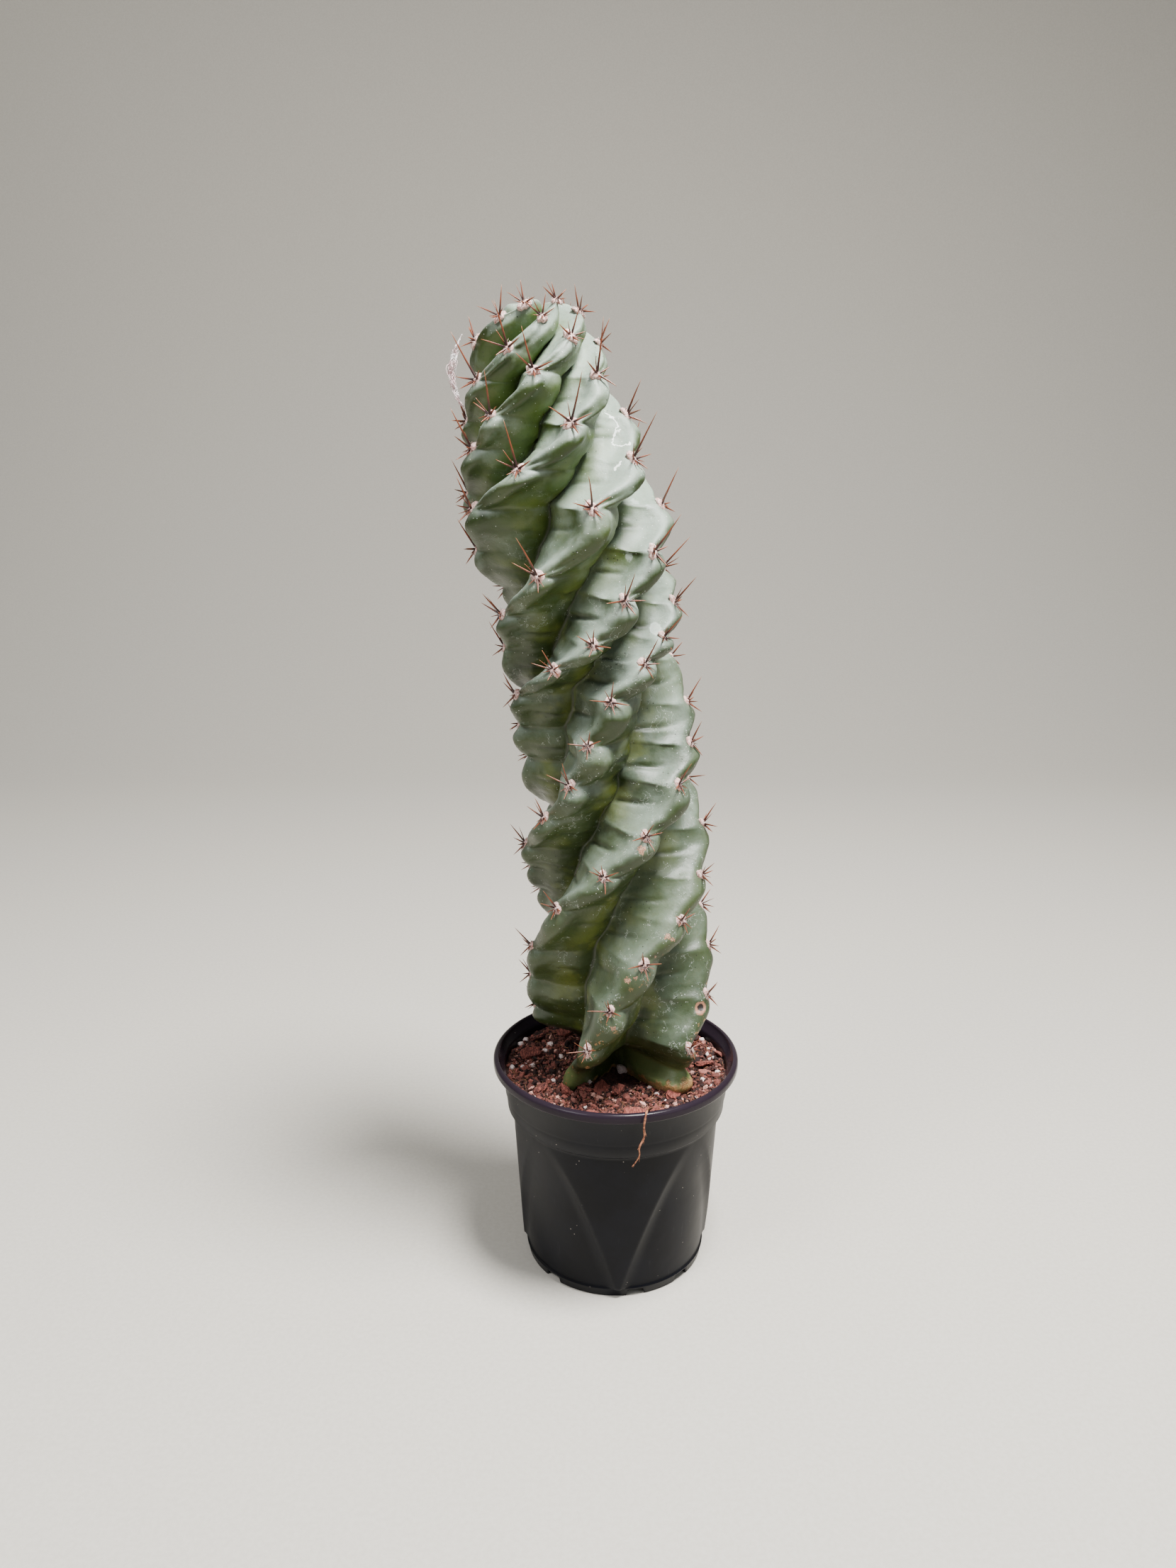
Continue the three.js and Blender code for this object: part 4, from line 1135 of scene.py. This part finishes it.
def spines_of(shapes, seed, scale, areole):
    """Spines of one areole; the long one varies most with the growth up the stem."""
    place, normal, side, up = areole
    for which, (lean, turn, shortest, longest) in enumerate(MAIN_SPINES + SMALL_SPINES):
        lean = math.radians(lean + spread(seed, which + 10, SPINE_LEAN_SPREAD))
        turn = math.radians(turn + spread(seed, which + 20, SPINE_TURN_SPREAD))
        grown = scale if which == LONG_SPINE else scale ** SIDE_SPINE_GROWTH
        length = mix(shortest, longest, chance(seed, which)) * grown
        heading = up * math.cos(turn) - side * math.sin(turn)
        way = normal * math.cos(lean) + heading * math.sin(lean)
        start = place + normal * 0.8 + heading * 0.5
        bend = side * spread(seed, which + 30, 0.2) + normal * spread(seed, which + 34, 0.16)
        width = SPINE_RADIUS if which < len(MAIN_SPINES) else SPINE_RADIUS * SMALL_SPINE_WIDTH
        spine(shapes, start, way, length, bend, width * (0.75 + 0.35 * scale))


def make_spines(material):
    shapes = Shapes()
    for seed, scale, areole in areoles():
        spines_of(shapes, seed, scale, areole)
    shapes.make("spines", material, "cactus_stem")


def make_wool(material):
    shapes = Shapes()
    for seed, scale, areole in areoles():
        size = 0.8 + 0.18 * scale + spread(seed, 5, 0.16)
        wool_pad(shapes, seed, size, areole)
        wool_hairs(shapes, seed, size, areole)
    shapes.make("areole_wool", material, "cactus_stem")


# Pot

def body_radius(z):
    return mix(BODY_FOOT_RADIUS, BODY_TOP_RADIUS, (z - LEDGE_Z) / (BODY_TOP_Z - LEDGE_Z))


def turned_away(azimuth, middle):
    """Degrees between azimuths, the short way round."""
    return np.abs((azimuth - middle + 180) % 360 - 180)


def panel_sink(azimuth, z):
    """How deep the V-shaped relief panels sink into the body at a place."""
    fall = np.clip((BODY_TOP_Z - z) / (BODY_TOP_Z - LEDGE_Z), 0, 1)
    half = PANEL_HALF_ANGLE * fall ** PANEL_SPREAD
    depth = PANEL_DEPTH * smoothstep(fall, -0.05, 0.45)
    sink = np.zeros(np.shape(z))
    for middle in PANEL_AZIMUTHS:
        inward = np.clip((half - turned_away(azimuth, middle)) / PANEL_EDGE_ANGLE, 0, 1)
        sink = np.maximum(sink, depth * (1 - (1 - inward) ** 2))
    return sink


def notch_share(azimuth):
    """1 inside the notches of the foot ring and 0 between them."""
    half = math.degrees(FOOT_NOTCH_WIDTH / 2 / FOOT_RADIUS)
    shares = [smoothstep(half - turned_away(azimuth, middle), -0.4, 0.4) for middle in FOOT_NOTCH_AZIMUTHS]
    return np.max(shares, axis=0)


def arc(centre_r, centre_z, radius, start, end, steps):
    """Profile points round a centre, angles in degrees with 0 outward and 90 up."""
    angles = np.radians(np.linspace(start, end, steps))
    return [(centre_r + radius * math.cos(a), centre_z + radius * math.sin(a)) for a in angles]


def pot_profile():
    """Section of the pot from the middle of its underside, round the outside, to the middle of the floor.

    Each point is (radius, height, share of the panel relief)."""
    ring = FOOT_RADIUS - FOOT_WALL
    band = BAND_RADIUS
    under = [(4, FLOOR_Z - 1.8), (20, FLOOR_Z - 1.8), (ring - 0.4, FLOOR_Z - 1.8), (ring, FLOOR_Z - 2.2),
             (ring, 0.5), (ring + 0.4, 0), (FOOT_RADIUS - 0.4, 0), (FOOT_RADIUS, 0.5),
             (FOOT_RADIUS + 0.5, LEDGE_Z - 1), (FOOT_RADIUS + 0.9, LEDGE_Z - 0.3)]
    outside = [(BODY_FOOT_RADIUS - 0.1, LEDGE_Z)]
    outside += [(body_radius(z), z) for z in np.linspace(LEDGE_Z + 0.6, BODY_TOP_Z - 0.8, 56)]
    upper = [(BODY_TOP_RADIUS + 0.5, BODY_TOP_Z - 0.1), (STEP_RADIUS - 0.6, STEP_Z - 0.5),
             (STEP_RADIUS, STEP_Z + 0.2), (band - 1.75, BAND_FOOT_Z - 1), (band - 1.55, BAND_FOOT_Z),
             (band - 1.2, BAND_FOOT_Z + 1), (band, BEAD_FOOT_Z - 1), (band + 0.6, BEAD_FOOT_Z - 0.25),
             (RIM_RADIUS - 1.3, BEAD_FOOT_Z - 0.1)]
    upper += arc(RIM_RADIUS - 1, BEAD_FOOT_Z + 0.9, 1, -85, 0, 5)
    upper += arc(RIM_RADIUS - 2, POT_HEIGHT - 2, 2, 8, 100, 9)
    upper += [(RIM_RADIUS - 2.6, POT_HEIGHT - 0.6), (RIM_RADIUS - 2.8, BEAD_FOOT_Z + 2.4),
              (band - WALL + 0.6, BEAD_FOOT_Z + 0.6), (band - WALL, BEAD_FOOT_Z - 1),
              (band - 1.6 - WALL, BAND_FOOT_Z), (STEP_RADIUS - WALL, STEP_Z + 1)]
    inside = [(body_radius(z) - WALL, z) for z in np.linspace(BODY_TOP_Z, FLOOR_Z + 1.2, 24)]
    floor = [(radius, FLOOR_Z) for radius in (BODY_FOOT_RADIUS - WALL - 2.2, 30, 12, 4)]
    stretches = [(under, 0), (outside, 1), (upper, 0), (inside, 1), (floor, 0)]
    return [(radius, z, share) for points, share in stretches for radius, z in points]


def cut_drain_holes(pot):
    """Cut the round holes through the floor."""
    cutters = Shapes()
    for i in range(DRAIN_HOLE_COUNT):
        azimuth = i * 360 / DRAIN_HOLE_COUNT + DRAIN_HOLE_TURN
        ends = around(DRAIN_HOLE_RING, azimuth, np.array([-2.0, 4.0, FLOOR_Z + 2]))
        cutters.add(*tube(ends, [DRAIN_HOLE_RADIUS] * 3, 28))
    points = to_world(np.concatenate(cutters.points)).tolist()
    cutter = add_object("cutters", points, cutters.faces, smooth=False)
    cut = pot.modifiers.new("holes", "BOOLEAN")
    cut.operation = "DIFFERENCE"
    cut.solver = "EXACT"
    cut.object = cutter
    seen = pot.evaluated_get(bpy.context.evaluated_depsgraph_get())
    holed = bpy.data.meshes.new_from_object(seen)
    pot.modifiers.clear()
    pot.data = holed
    bpy.data.objects.remove(cutter)


def make_pot(material):
    profile = np.array(pot_profile())
    radius, height, relief = (np.repeat(profile[:, [i]], POT_COLUMNS, axis=1) for i in range(3))
    azimuth = np.broadcast_to(np.arange(POT_COLUMNS) * 360 / POT_COLUMNS, radius.shape)
    radius = radius - relief * panel_sink(azimuth, height)
    in_ring = (radius > FOOT_RADIUS - FOOT_WALL - 0.1) & (radius < FOOT_RADIUS + 1)
    notch = notch_share(azimuth) * ((height < FOOT_NOTCH_HEIGHT) & in_ring)
    height = height + (FOOT_NOTCH_HEIGHT - height) * notch
    wave = RIM_WAVE * np.sin(np.radians(azimuth * 3 + 40)) * smoothstep(height, *WAVE_HEIGHTS)
    radius = radius + np.minimum(0, wave) - 0.05
    points = around(radius, azimuth, height).reshape(-1, 3)
    pot = make_piece("pot_shell", points, closed_rings(len(profile), POT_COLUMNS), material)
    cut_drain_holes(pot)
    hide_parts("pot")


# Soil

def soil_level(x, y):
    """Height of the soil at places, with a slight rise toward the pot's wall."""
    radius = np.hypot(x, y)
    ripple = np.sin(x * 0.42 + 1.3) * np.cos(y * 0.37 - 0.6) + np.sin((x + y) * 0.81) * 0.5
    fall = 1 - smoothstep(radius, 34, 44)
    rise = smoothstep(radius, 46, 55) * SOIL_EDGE_RISE
    return SOIL_TOP_Z + 0.3 + ripple * SOIL_RIPPLE - fall * SOIL_MIDDLE_DROP + rise


def make_soil_bed(material):
    """Bed of mix that fills the pot down to its floor."""
    azimuths = np.arange(SOIL_COLUMNS) * 360 / SOIL_COLUMNS
    clear = WALL + 0.5
    wall = [(BODY_FOOT_RADIUS - PANEL_DEPTH - clear, FLOOR_Z + 0.6),
            (BODY_TOP_RADIUS - PANEL_DEPTH - clear, BODY_TOP_Z), (STEP_RADIUS - clear, STEP_Z + 3)]
    rows = [around(radius, azimuths, z) for radius, z in wall]
    radii = np.concatenate([np.arange(2, 50, 1.3), np.linspace(50, SOIL_EDGE_RADIUS, 6)])
    for radius in radii[::-1]:
        ring = around(radius, azimuths, 0.0)
        lumps = lumpiness(ring, SOIL_LUMPS)
        ring[:, 2] = soil_level(ring[:, 0], ring[:, 1]) + lumps
        rows.append(ring)
    faces = closed_rings(len(rows), SOIL_COLUMNS)
    make_piece("soil_bed", np.concatenate(rows), faces, material, "potting_soil")


def unit_ball(subdivisions):
    """Points and faces of a ball made of even triangles."""
    builder = bmesh.new()
    bmesh.ops.create_icosphere(builder, subdivisions=subdivisions, radius=1)
    points = np.array([vertex.co[:] for vertex in builder.verts])
    faces = [[vertex.index for vertex in face.verts] for face in builder.faces]
    builder.free()
    return points, faces


def any_turn(seed):
    """Repeatable random rotation in any direction."""
    pole = Vector((spread(seed, 1, 2), spread(seed, 2, 2), spread(seed, 3, 2) + 0.01)).normalized()
    return np.array(Matrix.Rotation(chance(seed, 4) * 2 * math.pi, 3, pole))


def lying_turn(seed, tilt):
    """Repeatable random rotation that leaves a flat thing lying, tilted a little."""
    turn = Matrix.Rotation(chance(seed, 5) * 2 * math.pi, 3, "Z")
    return np.array((turn @ Matrix.Rotation(spread(seed, 6, tilt), 3, "X")).transposed())


def lump(ball, kind, seed, size, place, turn):
    """Irregular lump of a kind."""
    points, faces = ball
    flat = points / np.abs(points).max(axis=1)[:, None]
    points = mix(points, flat, kind["square"])
    rough = 1 + kind["rough"] * fractal(points, 0.9, 2, (seed + kind["seed"]) * 0.37)
    draws = [chance(seed, kind["draw"] + more) for more in (0, 0, 1)]
    sizes = [size * mix(*limits, draw) for limits, draw in zip(kind["shares"], draws)]
    return points * rough[:, None] * np.array(sizes) @ turn + place, faces


def laid(places, lift):
    """Things that lie above the soil at known places, each (place, size)."""
    return [(np.array([x, y, soil_level(x, y) + lift]), size) for x, y, size in places]


def on_soil(azimuth, radius, lift):
    """Place above the soil."""
    place = around(radius, azimuth, 0.0)
    place[2] = soil_level(place[0], place[1]) + lift
    return place


def scattered(seed, lift, inner, outer):
    """Random place above the soil, evenly spread between two radii."""
    radius = math.sqrt(mix(inner ** 2, outer ** 2, chance(seed, 301)))
    return on_soil(chance(seed, 302) * 360, radius, lift)


def make_crumbs(material):
    shapes = Shapes()
    ball = unit_ball(1)
    for i in range(CRUMB_COUNT):
        if chance(i, 308) < LARGE_CRUMB_SHARE:
            size = mix(*LARGE_CRUMB_SIZES, chance(i, 303) ** 2)
        else:
            size = mix(*CRUMB_SIZES, chance(i, 303))
        place = scattered(i, mix(*CRUMB_LIFTS, chance(i, 306)), 16, SOIL_RING_OUTER)
        shapes.add(*lump(ball, CRUMB, i, size, place, any_turn(i)), chance(i, 307))
    shapes.make("soil_crumbs", material, "potting_soil", smooth=False)


def fibre_path(seed):
    """Curling path of one coir fibre over the soil, kept inside the pot."""
    start = scattered(seed, FIBRE_LIFT, 20, SOIL_RING_OUTER - 1)
    heading = chance(seed, 310) * 2 * math.pi
    length = mix(*FIBRE_LENGTHS, chance(seed, 311) ** 2)
    path = []
    for share in np.linspace(0, 1, 6):
        angle = heading + spread(seed, 312, 2.4) * share
        x, y = start[:2] + np.array([math.cos(angle), math.sin(angle)]) * (length * share)
        inward = min(1, SOIL_RING_OUTER / math.hypot(x, y))
        x, y = x * inward, y * inward
        arch = math.sin(share * math.pi) * spread(seed, 313, 2.6)
        path.append([x, y, soil_level(x, y) + FIBRE_LIFT + arch])
    return path


def make_fibres(material):
    """Loose coir fibres that lie and curl on the soil."""
    shapes = Shapes()
    for seed in range(5000, 5000 + FIBRE_COUNT):
        width = mix(*FIBRE_RADII, chance(seed, 314))
        shapes.add(*tube(fibre_path(seed), [width] * 5 + [width * 0.4], 4), chance(seed, 315))
    shapes.make("coir_fibres", material, "potting_soil")


def make_perlite(material):
    """White grains: those that show at the front where they lie, the rest scattered."""
    shapes = Shapes()
    ball = unit_ball(3)
    grains = laid(PERLITE_PLACES, PERLITE_LIFTS[0])
    for i in range(PERLITE_COUNT):
        azimuth = mix(90, 270, chance(i, 320)) if i % 4 else chance(i, 320) * 360
        radius = mix(34, SOIL_RING_OUTER - 0.8, math.sqrt(chance(i, 321)))
        grains.append((on_soil(azimuth, radius, PERLITE_LIFTS[1]), mix(*PERLITE_SIZES, chance(i, 322))))
    for i, (place, size) in enumerate(grains):
        shapes.add(*lump(ball, GRAIN, i, size, place, any_turn(i + GRAIN["seed"])))
    shapes.make("perlite", material, "potting_soil")


def make_bark(material):
    """Bark chips: those that show at the front where they lie, the rest scattered."""
    shapes = Shapes()
    ball = unit_ball(3)
    chips = laid(BARK_PLACES, BARK_LIFTS[0])
    for i in range(BARK_COUNT):
        radius = mix(30, SOIL_RING_OUTER - 3, math.sqrt(chance(i, 331)))
        place = on_soil(chance(i, 330) * 360, radius, BARK_LIFTS[1])
        chips.append((place, mix(*BARK_LENGTHS, chance(i, 332))))
    for i, (place, length) in enumerate(chips):
        turn = lying_turn(i, BARK_TILT)
        shapes.add(*lump(ball, CHIP, i, length * 0.62, place, turn), chance(i, 337))
    shapes.make("bark_chips", material, "potting_soil", smooth=False)


# Loose root and web

def rounded(route, steps):
    """Smooth path through the points of a route."""
    points = np.array(route, float)
    padded = np.concatenate([[2 * points[0] - points[1]], points, [2 * points[-1] - points[-2]]])
    path = []
    for i in range(len(points) - 1):
        a, b, c, d = padded[i:i + 4]
        for t in np.linspace(0, 1, steps, endpoint=False):
            path.append(0.5 * (2 * b + (c - a) * t + (2 * a - 5 * b + 4 * c - d) * t ** 2
                               + (3 * b - a - 3 * c + d) * t ** 3))
    return np.array(path + [points[-1]])


def root_hair(start, seed):
    """Path of a short hair root that sags away from the strand."""
    away = np.array([spread(seed, 351, 2), 0.1, -0.5 - chance(seed, 353)])
    length = mix(*ROOT_HAIR_LENGTHS, chance(seed, 354))
    sag = np.array([0, 0, -length * 0.5])
    return [start + away * (length * t) + sag * t ** 2 for t in (0, 0.3, 0.65, 1)]


def make_root(material):
    """Thin dry root with knots and a few hair roots, from the soil over the rim."""
    shapes = Shapes()
    path = rounded(ROOT_ROUTE, 7)
    shares = np.linspace(0, 1, len(path))
    knots = np.array([0.82 + 0.3 * chance(i // 2, 350) for i in range(len(path))])
    taper = 1 - 0.55 * smoothstep(shares, 0.55, 1)
    points, faces = tube(path, ROOT_RADIUS * knots * taper, 8)
    shapes.add(points, faces, np.repeat(shares, 8))
    for i in range(ROOT_HAIR_COUNT):
        shapes.add(*tube(root_hair(path[20 + i * 6], i), ROOT_HAIR_RADII, 4), 0.5)
    shapes.make("root_strand", material, "loose_root")


def web_strand(path, thread):
    """Half of the web's path from a random start, pulled about at random, least at the path's ends."""
    half = len(path) // 2
    start = int(chance(thread, 360) * len(path) * 0.5)
    strand = path[start:start + half:2].copy()
    slack = np.sin(np.pi * np.linspace(start, start + half, len(strand)) / len(path))
    swing = WEB_WIDTH * mix(0.5, 1, chance(thread, 364)) * slack
    for side in range(3):
        strand[:, side] += swing * [spread(thread * 40 + i, 370 + side, 2) for i in range(len(strand))]
    return rounded(strand, 4)


def make_web(material):
    """Tangle of fine threads that hangs on the spines at the upper left."""
    shapes = Shapes()
    path = rounded(WEB_ROUTE, 8)
    for thread in range(WEB_THREADS):
        strand = web_strand(path, thread)
        shapes.add(*tube(strand, [mix(*WEB_RADII, chance(thread, 365))] * len(strand), 4))
    shapes.make("web_threads", material)


# Setting of the photograph

def make_floor(material):
    """Pale floor that bends up into a backdrop behind the plant."""
    bend = [(y, 0.0) for y in (FLOOR_FRONT, -1, 0, BEND_START)]
    for angle in np.radians(np.arange(6, 91, 6)):
        bend.append((BEND_START + BEND_RADIUS * math.sin(angle), BEND_RADIUS * (1 - math.cos(angle))))
    bend.append((BEND_START + BEND_RADIUS, BACKDROP_TOP))
    points = [(x, y, z) for y, z in bend for x in (-FLOOR_HALF_WIDTH, FLOOR_HALF_WIDTH)]
    faces = [[2 * i, 2 * i + 1, 2 * i + 3, 2 * i + 2] for i in range(len(bend) - 1)]
    floor = add_object("floor", points, faces, smooth=True)
    floor.data.materials.append(material)


def add_light(name, place, size, power, color):
    """Round soft light that faces the plant."""
    data = bpy.data.lights.new(name, "AREA")
    data.shape = "DISK"
    data.size = size
    data.energy = power
    data.color = color
    light = bpy.data.objects.new(name, data)
    light.location = place
    light.rotation_euler = (Vector(LIGHT_TARGET) - Vector(place)).to_track_quat("-Z", "Y").to_euler()
    bpy.context.scene.collection.objects.link(light)


def light_studio():
    for light in LIGHTS:
        add_light(*light)
    world = bpy.data.worlds.new("studio")
    world.use_nodes = True
    background = world.node_tree.nodes["Background"]
    background.inputs["Color"].default_value = (*WORLD_COLOR, 1)
    background.inputs["Strength"].default_value = WORLD_STRENGTH
    bpy.context.scene.world = world


def place_camera():
    data = bpy.data.cameras.new("camera")
    data.lens = CAMERA_LENS
    data.sensor_width = CAMERA_SENSOR
    data.clip_start = 0.01
    camera = bpy.data.objects.new("camera", data)
    camera.location = to_world(CAMERA_PLACE)[0]
    camera.rotation_euler = (math.radians(90 - CAMERA_PITCH), 0, 0)
    bpy.context.scene.collection.objects.link(camera)
    bpy.context.scene.camera = camera


def build():
    make_stem(skin_material())
    make_wool(wool_material())
    make_spines(spine_material())
    make_pot(pot_material())
    make_soil_bed(mix_material("soil_mix", MIX_BROWNS, 1.6))
    make_crumbs(crumb_material())
    make_fibres(mix_material("coir", COIR_BROWNS, 1.2))
    make_perlite(perlite_material())
    make_bark(bark_material())
    make_root(root_material())
    make_web(web_material())
    make_floor(floor_material())
    light_studio()
    place_camera()


build()
